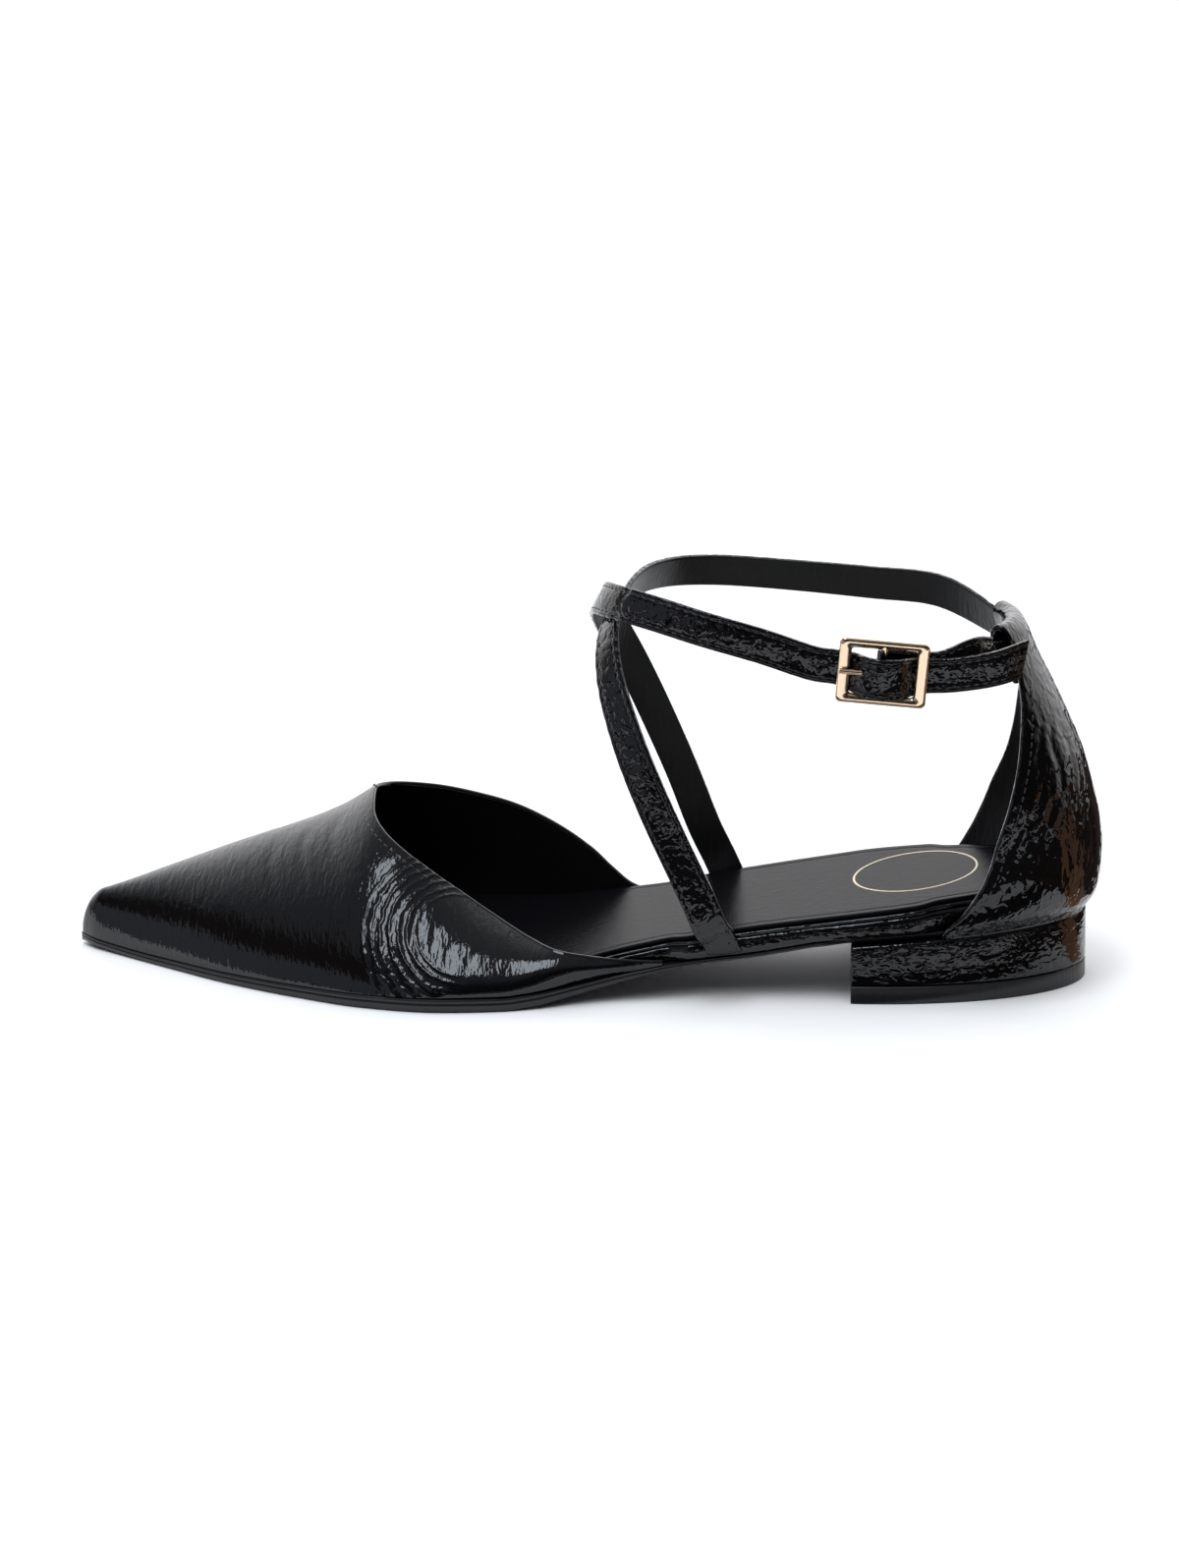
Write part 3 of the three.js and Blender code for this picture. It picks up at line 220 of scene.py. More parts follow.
# Ring creases in the vamp's gloss
RING_CENTRE = (156 - HEEL_DEPTH / 2, 30, 17)
RING_INNER = 11.0
RING_OUTER = 28.0
RING_DEPTH = 0.16
RING_PITCH = 2.3
RING_EDGE = 2.5
RING_FADE = (-3.0, 7.0)
RING_WOBBLE = 2.4
RING_WOBBLE_SCALE = 2.2

# Sides of the plates: how far each level is set in, and the level as a share of the height
LIFT_RIM = ((0.3, 0), (0.08, 0.03), (0, 0.1), (0, 0.5), (0, 0.93), (0.08, 0.97), (0.3, 1))
HEEL_RIM = (
    (0.3, 0), (0.08, 0.02), (0, 0.06), (0, 0.3), (0, 0.6), (0, 0.88), (0.1, 0.94), (0.35, 0.985), (0.7, 1),
)
OUTSOLE_RIM = (
    (1.2, 0), (0.7, 0.05), (0.4, 0.18), (0.2, 0.36), (0.1, 0.52), (0.16, 0.6), (0.34, 0.66),
    (0.22, 0.72), (0.02, 0.78), (0, 0.86), (0.05, 0.95), (0.2, 1),
)
INSOLE_RIM = (
    (0.9, 0), (0.45, 0.06), (0.18, 0.16), (0.05, 0.28), (0, 0.42), (0.06, 0.56), (0.22, 0.68), (0.55, 0.76),
    (0.8, 0.79), (0.6, 0.82), (0.38, 0.86), (0.36, 0.92), (0.55, 0.97), (0.9, 1),
)

# Crinkles of the patent in two layers: pitches along, across and up, and depth, in mm, then detail and twist
VAMP_CRINKLE = (((1.25, 4.2, 4.2), 0.15, 1.5, 0.5), ((0.5, 0.9, 0.9), 0.03, 1.0, 0.4))
COUNTER_CRINKLE = (((2.2, 2.2, 3.4), 0.36, 0.6, 0.7), ((0.9, 0.9, 1.3), 0.05, 0.5, 0.3))
HEEL_CRINKLE = (((2.8, 2.8, 1.7), 0.3, 0.6, 0.7), ((1.0, 1.0, 0.7), 0.05, 0.5, 0.3))
BAND_CRINKLE = (((3.0, 3.0, 1.3), 0.22, 0.6, 0.6), ((0.9, 0.9, 0.6), 0.04, 0.5, 0.3))
STRAP_CRINKLE = (((1.9, 1.9, 1.9), 0.34, 0.6, 0.7), ((0.8, 0.8, 0.8), 0.05, 0.5, 0.3))

# Camera, floor and light, in metres in the frame
CAMERA_AT = Vector((-0.05025, 1.3534, 0.4706))
CAMERA_AIM = Vector((0.0977, 0.003, 0.049))
CAMERA_ROLL = -0.716
CAMERA_LENS = 127.6
CAMERA_SENSOR = 36
CAMERA_REACH = 50
SOFTBOX_AT = Vector((0.384, 0.513, 1.738))
SOFTBOX_AIM = Vector((0.137, 0.03, 0.02))
SOFTBOX_SIZE = (0.58, 0.98)
SOFTBOX_POWER = 11.2
SOFTBOX_COLOUR = (0.82, 0.91, 1.0)
FILL_POWER = 1.55
FILL_COLOUR = (1.0, 0.985, 0.95)
FILL_ANGLE = 70
FILL_TILT = -12
BEHIND_FADE = (0.1, -0.75)
TOE_FADE_AHEAD = (0.2, 0.45)
TOE_FADE_ASIDE = (-0.1, 0.1)
FLOOR_HALF = 14.0
FLOOR_WHITE = (0.93, 0.93, 0.94)
FAR = 6.0
CARD_LIFT = 0.0004
# A glowing brown wedge on the floor behind the heel, seen in reflections alone: the painted brown reflection
# streak on the counter
WEDGE_START = -0.038
WEDGE_NARROW = 0.006
WEDGE_HALF = math.tan(math.radians(11))
WEDGE_LIFT = 0.0007
WEDGE_REFLECTION_BROWN = (0.5, 0.27, 0.15)

# Cards on the floor that reflections alone see, glowing with painted dark reflections: name, near and far
# corner, colour
CARDS = (
    ("front_card", (-FAR, 0.072), (FAR, 0.23), (0.045, 0.043, 0.05)),
    ("far_card", (-FAR, 0.5), (FAR, FAR), (0.045, 0.04, 0.042)),
    ("side_card", (-FAR, -0.5), (-0.072, 0.072), (0.05, 0.035, 0.03)),
    # painted shade: this card darkens the lower part of the heel's reflection, standing in for the contact
    # shade
    ("foot_shade_card", (-0.06, 0.0285), (0.034, 0.047), (0.02, 0.02, 0.022)),
    # the side and heel cards glow a brownish dark, painted reflections on the counter and heel
    ("heel_card", (-0.072, -0.5), (-0.055, 0.072), (0.05, 0.035, 0.03)),
)

# The room's light by height, from level to overhead: on the camera's side, behind the shoe and at the toe
NEAR_LIGHT = (
    (0.0, (0.05, 0.035, 0.03)),
    (0.12, (0.03, 0.024, 0.022)),
    (0.3, (0.02, 0.02, 0.026)),
    (0.55, (0.05, 0.055, 0.07)),
    (0.75, (0.2, 0.22, 0.27)),
    (1.0, (0.3, 0.31, 0.34)),
)
FAR_LIGHT = (
    (0.0, (1.3, 1.3, 1.32)),
    (0.3, (2.2, 2.2, 2.24)),
    (0.6, (2.0, 2.02, 2.06)),
    (0.8, (1.2, 1.22, 1.26)),
    (1.0, (0.3, 0.31, 0.34)),
)
TOE_LIGHT = (
    (0.0, (0.34, 0.36, 0.42)),
    (0.4, (0.36, 0.38, 0.44)),
    (0.44, (0.07, 0.055, 0.045)),
    (0.64, (0.06, 0.05, 0.045)),
    (0.72, (0.24, 0.25, 0.29)),
    (1.0, (0.28, 0.29, 0.33)),
)


def table(names, *rows):
    """A table of named columns."""
    return {key: np.array([row[i] for row in rows], float) for i, key in enumerate(names.split())}


LAST_OUTLINE = table(
    "along outer inner",
    (0.2233, 0.3538, 0.3538),
    (0.286, 0.353, 0.333),
    (0.343, 0.358, 0.313),
    (0.385, 0.372, 0.303),
    (0.42, 0.392, 0.305),
    (0.454, 0.415, 0.319),
    (0.485, 0.447, 0.337),
    (0.527, 0.507, 0.365),
    (0.573, 0.546, 0.396),
    (0.63, 0.567, 0.418),
    (0.69, 0.543, 0.419),
    (0.763, 0.461, 0.367),
    (0.836, 0.35, 0.283),
    (0.912, 0.2, 0.169),
    (1.0, 0.03, 0.028),
)
ARCH_PROFILE = table(
    "along rise",
    (0.2233, 1.0),
    (0.252, 0.955),
    (0.286, 0.835),
    (0.324, 0.71),
    (0.363, 0.625),
    (0.401, 0.53),
    (0.427, 0.43),
    (0.458, 0.295),
    (0.489, 0.165),
    (0.519, 0.065),
    (0.55, 0.0),
)
FOOTBED_PROFILE = table(
    "along rise",
    (0.0, 1.55),
    (0.06, 1.52),
    (0.13, 1.425),
    (0.172, 1.345),
    (0.21, 1.275),
    (0.252, 1.185),
    (0.343, 0.985),
    (0.42, 0.785),
    (0.454, 0.69),
    (0.485, 0.595),
    (0.534, 0.465),
    (0.592, 0.385),
    (0.668, 0.345),
    (0.763, 0.335),
    (0.954, 0.365),
)
VAMP_SECTIONS = table(
    "along crown_outer crown_inner shift full_outer full_inner",
    (0.4, 0.87, 0.85, 0.115, 2.6, 3.0),
    (0.454, 0.87, 0.97, 0.12, 2.5, 3.0),
    (0.485, 0.86, 1.06, 0.12, 2.2, 3.0),
    (0.508, 0.8, 1.11, 0.12, 1.7, 2.85),
    (0.534, 0.71, 1.15, 0.12, 1.4, 2.65),
    (0.573, 0.76, 1.17, 0.118, 1.32, 2.37),
    (0.611, 0.87, 1.14, 0.113, 1.31, 2.05),
    (0.64, 0.99, 1.12, 0.108, 1.31, 1.86),
    (0.668, 1.055, 1.09, 0.103, 1.36, 1.72),
    (0.69, 1.04, 1.045, 0.0985, 1.4, 1.69),
    (0.703, 1.0, 1.0, 0.096, 1.44, 1.68),
    (0.733, 0.885, 0.885, 0.088, 1.51, 1.68),
    (0.763, 0.805, 0.805, 0.079, 1.57, 1.69),
    (0.84, 0.65, 0.65, 0.05, 1.65, 1.75),
    (0.916, 0.485, 0.485, 0.024, 1.75, 1.8),
    (0.954, 0.4, 0.4, 0.012, 1.85, 1.85),
    (1.0, 0.31, 0.31, 0.0, 1.9, 1.9),
)
TOPLINE = {
    "outer": table(
        "along rise",
        (0.405, 0.232),
        (0.42, 0.235),
        (0.454, 0.255),
        (0.485, 0.29),
        (0.534, 0.355),
        (0.573, 0.455),
        (0.611, 0.58),
        (0.649, 0.72),
        (0.668, 0.79),
        (0.687, 0.86),
        (0.7, 0.925),
        (0.705, 1.0),
    ),
    "inner": table(
        "along rise",
        (0.405, 0.232),
        (0.427, 0.24),
        (0.454, 0.285),
        (0.477, 0.39),
        (0.496, 0.495),
        (0.534, 0.645),
        (0.573, 0.757),
        (0.611, 0.837),
        (0.649, 0.912),
        (0.687, 0.965),
        (0.6975, 0.98),
        (0.7012, 0.989),
        (0.703, 0.994),
        (0.7045, 0.998),
        (0.705, 1.0),
    ),
}
# Each counter row: rise, back, depth and half width as shares, then its outer and inner sweep in degrees
COUNTER_ROWS = (
    (0.19, 0.0, 1.0336, 0.5, 66.5, 69.0),
    (0.23, -0.027, 0.8, 0.517, 75.5, 80.0),
    (0.28, -0.036, 0.67, 0.528, 79.5, 85.5),
    (0.35, -0.04, 0.585, 0.532, 80.5, 87.5),
    (0.43, -0.031, 0.548, 0.527, 77.5, 83.5),
    (0.51, -0.012, 0.512, 0.512, 71.5, 76.5),
    (0.6, 0.013, 0.477, 0.477, 64.0, 69.5),
    (0.69, 0.05, 0.45, 0.45, 54.0, 59.5),
    (0.78, 0.092, 0.433, 0.433, 42.0, 45.5),
    (0.85, 0.127, 0.424, 0.424, 34.0, 35.0),
)
# Each strap row: along, side and rise as shares, the way it faces, and how many straps it lies over
LOOP_STRAP_ROWS = (
    (0.356, 0.4, 0.2, (-0.1, 1, 0), 0),
    (0.367, 0.42, 0.28, (-0.05, 1, 0), 0),
    (0.38, 0.43, 0.36, (0, 1, 0.05), 0),
    (0.407, 0.43, 0.52, (0.1, 1, 0.1), 0),
    (0.433, 0.385, 0.68, (0.35, 0.9, 0.2), 0),
    (0.4535, 0.29, 0.835, (0.65, 0.65, 0.35), 0),
    (0.4575, 0.195, 0.93, (0.8, 0.4, 0.45), 0),
    (0.45, 0.085, 0.984, (0.85, 0.1, 0.5), 0),
    (0.441, -0.03, 0.998, (0.85, -0.2, 0.45), 0),
    (0.43, -0.14, 0.998, (0.7, -0.6, 0.35), 0),
    (0.407, -0.255, 0.991, (0.4, -0.9, 0.33), 0),
    (0.366, -0.325, 0.981, (0.15, -1, 0.3), 0),
    (0.3, -0.352, 0.966, (0, -1, 0.27), 0),
    (0.215, -0.357, 0.948, (-0.1, -1, 0.13), 0),
    (0.15, -0.335, 0.935, (-0.3, -0.95, 0.1), 0),
)
LONG_STRAP_ROWS = (
    (0.3665, -0.335, 0.2, (0, -1, 0), 0),
    (0.381, -0.332, 0.28, (0, -1, 0), 0),
    (0.404, -0.33, 0.44, (0, -1, 0.1), 0),
    (0.427, -0.295, 0.6, (0.25, -1, 0.2), 0),
    (0.449, -0.22, 0.76, (0.6, -0.75, 0.3), 0),
    (0.461, -0.135, 0.865, (0.8, -0.5, 0.4), 0.6),
    (0.4655, -0.03, 0.94, (0.85, -0.15, 0.5), 1),
    (0.4625, 0.085, 0.985, (0.8, 0.25, 0.5), 1),
    (0.4525, 0.19, 1.008, (0.7, 0.6, 0.4), 1),
    (0.434, 0.285, 1.02, (0.4, 0.85, 0.25), 0.6),
    (0.404, 0.352, 1.012, (0.2, 1, 0.15), 0),
    (0.36, 0.39, 0.985, (0.05, 1, 0.1), 0),
    (0.305, 0.404, 0.948, (0, 1, 0.05), 0),
)
LOOP_STRAP_SIDE_ROW = (0.107, 0.292, 0.912, (-0.45, 0.9, 0.1), 0)
FREE_END_ROWS = ((0.09, 0.338, 0.89, (-0.35, 1, 0.05), 1), (0.066, 0.275, 0.9, (-0.55, 0.85, 0.1), 1))
WING_SWELL = {"height": 2.0, "start": 0.42, "rise": 0.5, "fall": 0.57, "end": 0.66}
# Each vamp crease: along, turn, lean in degrees, then length, width and depth in mm
VAMP_CREASES = (
    (0.655, 0.42, 14, 9, 1.1, 0.1),
    (0.642, 0.46, 8, 11, 1.2, 0.12),
    (0.626, 0.44, -4, 9, 1.1, 0.1),
    (0.61, 0.36, -14, 7, 1.0, 0.09),
    (0.59, 0.3, -22, 6, 1.0, 0.08),
    (0.668, 0.3, 24, 7, 1.1, 0.09),
    (0.8, 0.62, 10, 12, 1.4, 0.1),
    (0.77, 0.7, 5, 10, 1.3, 0.1),
    (0.74, 0.76, 0, 9, 1.3, 0.09),
)
# Each counter crease: turn, rise and length as shares, then width, depth and sway in mm
COUNTER_CREASES = (
    (0.88, 0.35, 0.18, 1.0, 0.16, 0.8),
    (0.8, 0.62, 0.16, 1.1, 0.18, -0.6),
    (0.7, 0.42, 0.2, 1.2, 0.16, 0.7),
    (0.6, 0.66, 0.17, 1.2, 0.2, -0.9),
    (0.52, 0.38, 0.14, 1.1, 0.15, 0.6),
    (0.4, 0.58, 0.22, 1.3, 0.2, 0.9),
    (0.26, 0.4, 0.18, 1.2, 0.16, -0.7),
    (0.1, 0.6, 0.2, 1.3, 0.18, 0.6),
    (-0.15, 0.45, 0.2, 1.2, 0.16, 0.8),
    (-0.35, 0.62, 0.18, 1.2, 0.18, -0.7),
    (-0.6, 0.42, 0.18, 1.2, 0.16, 0.7),
    (-0.8, 0.6, 0.16, 1.1, 0.16, -0.6),
)
# Places of the straps' creases along each strap, in mm
LONG_STRAP_CREASES = (14, 22, 33, 47, 58, 71, 77, 84, 91, 97, 104, 112, 121, 133, 148, 159, 171, 182, 190, 198)
LOOP_STRAP_CREASES = (
    14, 20, 31, 44, 56, 66, 73, 80, 86, 92, 99, 109, 122, 138, 151, 166, 180, 197, 212, 228, 243,
)
BUCKLE_PLACE = {"along": 0.1925, "side": 0.408, "rise": 0.886, "pitch": 5.0, "yaw": 2.5}


def curve_through(at, values, bend):
    """The smooth curve through values at rising places, with its slope at each."""

    def read(place):
        place = np.clip(np.asarray(place, float), at[0], at[-1])
        i = np.clip(np.searchsorted(at, place, side="right") - 1, 0, len(at) - 2)
        span = at[i + 1] - at[i]
        t = (place - at[i]) / span
        if values.ndim > 1:
            span = span[:, None]
            t = t[:, None]
        rest = 1 - t
        start = values[i] * (1 + 2 * t) * rest**2 + bend[i] * span * t * rest**2
        return start + values[i + 1] * t**2 * (3 - 2 * t) - bend[i + 1] * span * t**2 * rest

    return read


def column(rows, key):
    """A table's column as a smooth function of the share along the shoe, with no overshoot."""
    value = rows[key]
    slope = np.diff(value) / np.diff(rows["along"])
    before = slope[:-1]
    after = slope[1:]
    same = before * after > 0
    middle = np.where(same, 2 * before * after / np.where(same, before + after, 1), 0)
    return curve_through(rows["along"], value, np.concatenate([slope[:1], middle, slope[-1:]]))


def blurred(values, spread):
    """Evens rows of values at close, equal steps, by a bell of so many steps, and keeps both ends."""
    side = int(3 * spread)
    weight = np.exp(-0.5 * (np.arange(-side, side + 1) / spread) ** 2)
    weight /= weight.sum()
    before = 2 * values[0] - values[side:0:-1]
    after = 2 * values[-1] - values[-2:-side - 2:-1]
    padded = np.concatenate([before, values, after])
    return np.stack([np.convolve(line, weight, mode="valid") for line in padded.T], 1)


def eased(rows, key, blur):
    """A table's column with its corners eased, so that gloss runs over it without a break."""
    share = np.linspace(rows["along"][0], rows["along"][-1], EASE_STEPS)
    soft = blurred(column(rows, key)(share)[:, None], blur / (share[1] - share[0]))[:, 0]
    return lambda at: np.interp(at, share, soft)


def smooth_step(value, low, high):
    t = np.clip((value - low) / (high - low), 0, 1)
    return t * t * (3 - 2 * t)


def lerp(a, b, t):
    return a + (b - a) * t


OUTLINE = {side: eased(LAST_OUTLINE, side, 0.006) for side in SIGN}
ARCH = eased(ARCH_PROFILE, "rise", 0.008)
FOOTBED = eased(FOOTBED_PROFILE, "rise", 0.01)
VAMP_COLUMNS = {key: eased(VAMP_SECTIONS, key, 0.008) for key in VAMP_SECTIONS if key != "along"}
TOPLINE_RISE = {side: column(rows, "rise") for side, rows in TOPLINE.items()}


def axis_side(x):
    return -TOE_DRIFT * np.maximum(0, x - HEEL_DEPTH) / (SHOE_LENGTH - HEEL_DEPTH)


def round_end(t):
    s = np.clip(t, 0, 1)
    return np.sqrt(1 - (1 - s) ** 2)


def heel_reach(x, inset, back_inset):
    """Half the heel's round outline, set in by so much at its sides and at its back."""
    turn = (HEEL_DEPTH - x) / (HEEL_DEPTH - back_inset)
    return (HEEL_WIDTH / 2 - inset) * np.sqrt(np.maximum(0, 1 - turn**2))


def front_reach(side, x, inset):
    """Distance from the axis to the outline ahead of the heel, down to its round point."""
    toe = SHOE_LENGTH - TOE_DRAW_BACK * inset
    return (OUTLINE[side](x / SHOE_LENGTH) * BALL_WIDTH - inset) * round_end((toe - x) / TOE_RADIUS)


def edge_reach(side, x, inset):
    """Distance of an edge from the last's axis, for an outline set in by so much."""
    x = np.asarray(x, float)
    return np.where(x < HEEL_DEPTH, heel_reach(x, inset, inset), front_reach(side, x, inset))


def heel_top(x):
    t = np.clip(x / HEEL_DEPTH, 0, 1)
    return lerp(HEEL_BACK, HEEL_BREAST, t * (0.6 + 0.4 * t))


def sole_bottom(x):
    x = np.asarray(x, float)
    rest = 1 - (x - HEEL_DEPTH) / (BALL_START - HEEL_DEPTH)
    arch = ARCH(x / SHOE_LENGTH) * HEEL_BREAST + GAP * rest
    toe = TOE_SPRING * (np.maximum(0, x - BALL_END) / (SHOE_LENGTH - BALL_END)) ** 2
    return np.where(x <= HEEL_DEPTH, heel_top(x) + GAP, np.where(x >= BALL_START, toe, arch))


def sole_top(x):
    share = np.asarray(x, float) / SHOE_LENGTH
    fore = lerp(FORE_SOLE, TOE_SOLE, smooth_step(share, BALL_MIDDLE_SHARE, 1))
    return sole_bottom(x) + lerp(WAIST_SOLE, fore, smooth_step(share, WAIST_END_SHARE, BALL_START_SHARE))


def footbed_top(x):
    return FOOTBED(np.asarray(x, float) / SHOE_LENGTH) * HEEL_BACK


def insole_top(x):
    return footbed_top(x) - SOCK - GAP


# Vamp surface: turn runs from 0 at the sole to 1 at the crown
def vamp_shape(side, x, set_in):
    share = x / SHOE_LENGTH
    nose = round_end((SHOE_LENGTH - TOE_DRAW_BACK * set_in - x) / NOSE_LENGTH)
    base = sole_top(x) + GAP
    crown = np.where(x < THROAT, VAMP_COLUMNS["crown_" + side](share), VAMP_COLUMNS["crown_outer"](share))
    height = np.maximum(0, crown * THROAT_HEIGHT - set_in - base) * nose
    shift = -VAMP_COLUMNS["shift"](share) * BALL_WIDTH * nose
    return base, edge_reach(side, x, set_in), shift, height, VAMP_COLUMNS["full_" + side](share)


def vamp_point(side, x, turn, set_in):
    base, reach, crown_side, height, full = vamp_shape(side, x, set_in)
    angle = turn * math.pi / 2
    across = np.maximum(0, np.cos(angle)) ** (2 / full)
    up = np.maximum(0, np.sin(angle)) ** (2 / full)
    y = axis_side(x) + crown_side + (SIGN[side] * reach - crown_side) * across
    return np.stack(np.broadcast_arrays(x, y, base + height * up), -1)


def vamp_turn_at(side, x, z, set_in):
    base, _, _, height, full = vamp_shape(side, x, set_in)
    up = np.clip((z - base) / height, 0, 1)
    return np.arcsin(up ** (full / 2)) * 2 / math.pi


def vamp_inside(side, x, z):
    point = vamp_point(side, x, vamp_turn_at(side, x, z, WALL), WALL)
    return SIGN[side] * (point[..., 1] - axis_side(x))


def topline_turn(side, x):
    turn = vamp_turn_at(side, x, TOPLINE_RISE[side](x / SHOE_LENGTH) * THROAT_HEIGHT, 0)
    return np.where(x >= THROAT, 1.0, turn)


# Meshes
def unit(v):
    return v / np.maximum(1e-12, np.linalg.norm(v, axis=-1, keepdims=True))


def travelled(points):
    """The distance covered at each point of a path."""
    return np.concatenate([[0], np.cumsum(np.linalg.norm(np.diff(points, axis=0), axis=1))])


def read_path(place, distance, points):
    """The point of a path at one distance along it."""
    return np.array([np.interp(place, distance, points[:, k]) for k in range(3)])


def add_object(name, data):
    piece = bpy.data.objects.new(name, data)
    bpy.context.scene.collection.objects.link(piece)
    return piece


def add_mesh(name, points, faces):
    mesh = bpy.data.meshes.new(name)
    mesh.from_pydata(points, [], faces)
    return add_object(name, mesh)


def place_mesh(name, points, faces, slots=None):
    """A mesh object from points in millimetres from the heel's back."""
    points = np.asarray(points, float).reshape(-1, 3)
    moved = (points - (HEEL_DEPTH / 2, 0, 0)) * MM
    piece = add_mesh(name, moved.tolist(), [list(map(int, face)) for face in faces])
    if slots is not None:
        piece.data.polygons.foreach_set("material_index", np.asarray(slots, np.int32))
    piece.data.update()
    return piece


def grid_faces(rows, cols, start=0, wrap=False):
    i = np.arange(rows - 1)[:, None]
    last = cols if wrap else cols - 1
    j = np.arange(last)[None, :]
    a = start + i * cols + j
    b = start + i * cols + (j + 1) % cols
    return np.stack([a, b, b + cols, a + cols], -1).reshape(-1, 4)


def finish_mesh(piece, weld=0.0, sharp=None):
    """Welds, turns the faces outward and smooths them."""
    work = bmesh.new()
    work.from_mesh(piece.data)
    if weld:
        bmesh.ops.remove_doubles(work, verts=work.verts, dist=weld * MM)
    bmesh.ops.recalc_face_normals(work, faces=work.faces)
    for face in work.faces:
        face.smooth = True
    work.to_mesh(piece.data)
    work.free()
    if sharp:
        piece.data.set_sharp_from_angle(angle=math.radians(sharp))
    return piece


def mesh_of_grids(name, parts, weld, sharp):
    """A piece made of grids of points, each with its material's place."""
    points = []
    faces = []
    slots = []
    start = 0
    for grid, slot in parts:
        points.append(grid.reshape(-1, 3))
        faces.append(grid_faces(*grid.shape[:2], start))
        slots.append(np.full(len(faces[-1]), slot))
        start += len(points[-1])
    piece = place_mesh(name, np.concatenate(points), np.concatenate(faces), np.concatenate(slots))
    return finish_mesh(piece, weld, sharp)


def loft(name, loops, sharp=40, slots=None):
    """A closed piece through loops of points, with its two ends filled."""
    loops = np.asarray(loops, float)
    rows, cols = loops.shape[:2]
    faces = grid_faces(rows, cols, wrap=True).tolist()
    faces.append(list(range(cols)))
    faces.append([(rows - 1) * cols + j for j in range(cols)])
    return finish_mesh(place_mesh(name, loops, faces, slots), LOFT_WELD, sharp)


def border(grid):
    """The points round the rim of a grid, in order, and the points one row inside them."""
    rows, cols = grid.shape[:2]
    ring = [(0, j) for j in range(cols - 1)]
    ring += [(i, cols - 1) for i in range(rows - 1)]
    ring += [(rows - 1, j) for j in range(cols - 1, 0, -1)]
    ring += [(i, 0) for i in range(rows - 1, 0, -1)]
    near = [(min(max(i, 1), rows - 2), min(max(j, 1), cols - 2)) for i, j in ring]
    ring = np.array(ring)
    near = np.array(near)
    return grid[ring[:, 0], ring[:, 1]], grid[near[:, 0], near[:, 1]]


def edge_roll(outer, inner, near, closed, bulge):
    """Half round points that join two edges, bulging away from the sheet."""
    middle = (outer + inner) / 2
    across = (outer - inner) / 2
    if closed:
        along = np.roll(middle, -1, 0) - np.roll(middle, 1, 0)
    else:
        along = np.gradient(middle, axis=0)
    away = np.cross(unit(across), unit(along))
    away *= np.sign(np.sum(away * (middle - near), -1, keepdims=True))
    away = unit(away) * np.linalg.norm(across, axis=-1, keepdims=True) * bulge
    angle = np.linspace(0, math.pi, ROLL_STEPS + 1)[:, None, None]
    return (middle + across * np.cos(angle) + away * np.sin(angle)).transpose(1, 0, 2)


def shell(name, outer, inner):
    """A wall between two sheets of points, patent outside and lined inside, with its rim rolled over."""
    out_rim, out_near = border(outer)
    in_rim, in_near = border(inner)
    roll = edge_roll(out_rim, in_rim, (out_near + in_near) / 2, True, SHELL_BULGE)
    ring = np.concatenate([roll, roll[:1]])
    return mesh_of_grids(name, [(outer, FACE), (inner, LINED), (ring, FACE)], SHEET_WELD, 50)


def edge_line(side, x, reach, inset, z):
    """A line beside an outline, set in by so much but never past most of the way to the axis."""
    return np.stack([x, axis_side(x) + SIGN[side] * (reach - np.minimum(inset, reach * MOST_INSET)), z], -1)


def plate(name, x, edge, bottom, top, rim, sharp=40):
    """A plate along the shoe. The rim lists how far each level of its side is set in."""
    low = bottom(x)
    high = top(x)
    sides = {}
    for side in SIGN:
        reach = edge(side, x)
        sides[side] = [edge_line(side, x, reach, inset, lerp(low, high, level)) for inset, level in rim]
    shares = np.linspace(0, 1, PLATE_STEPS + 1)[1:-1]
    upper = [lerp(sides["outer"][-1], sides["inner"][-1], t) for t in shares]
    lower = [lerp(sides["inner"][0], sides["outer"][0], t) for t in shares]
    return loft(name, np.stack(sides["outer"] + upper + sides["inner"][::-1] + lower, 1), sharp)


def stations_between(start, end, count):
    t = np.linspace(0, 1, count + 1)
    return start + (end - start) * (0.5 - 0.5 * np.cos(math.pi * t))


# Vamp
def vamp_stations():
    t = np.linspace(0, 1, WING_STEPS + 1)
    wing = WING_TIP + (THROAT - WING_TIP) * np.sin(t * math.pi / 2)
    t = np.linspace(0, 1, FRONT_STEPS + 1)[1:]
    front = THROAT + (SHOE_LENGTH - END_SLIVER - THROAT) * np.sin(t * math.pi / 2)
    return np.concatenate([wing, front])


def sheet_normal(points):
    """Directions square to a grid of points."""
    return unit(np.cross(np.gradient(points, axis=0), np.gradient(points, axis=1)))


def crease_shape(across):
    """A soft trough with a lower ridge at each side."""
    return np.exp(-(across**2)) - CREASE_RIDGE * np.exp(-((abs(across) - CREASE_RIDGE_AT) ** 2))


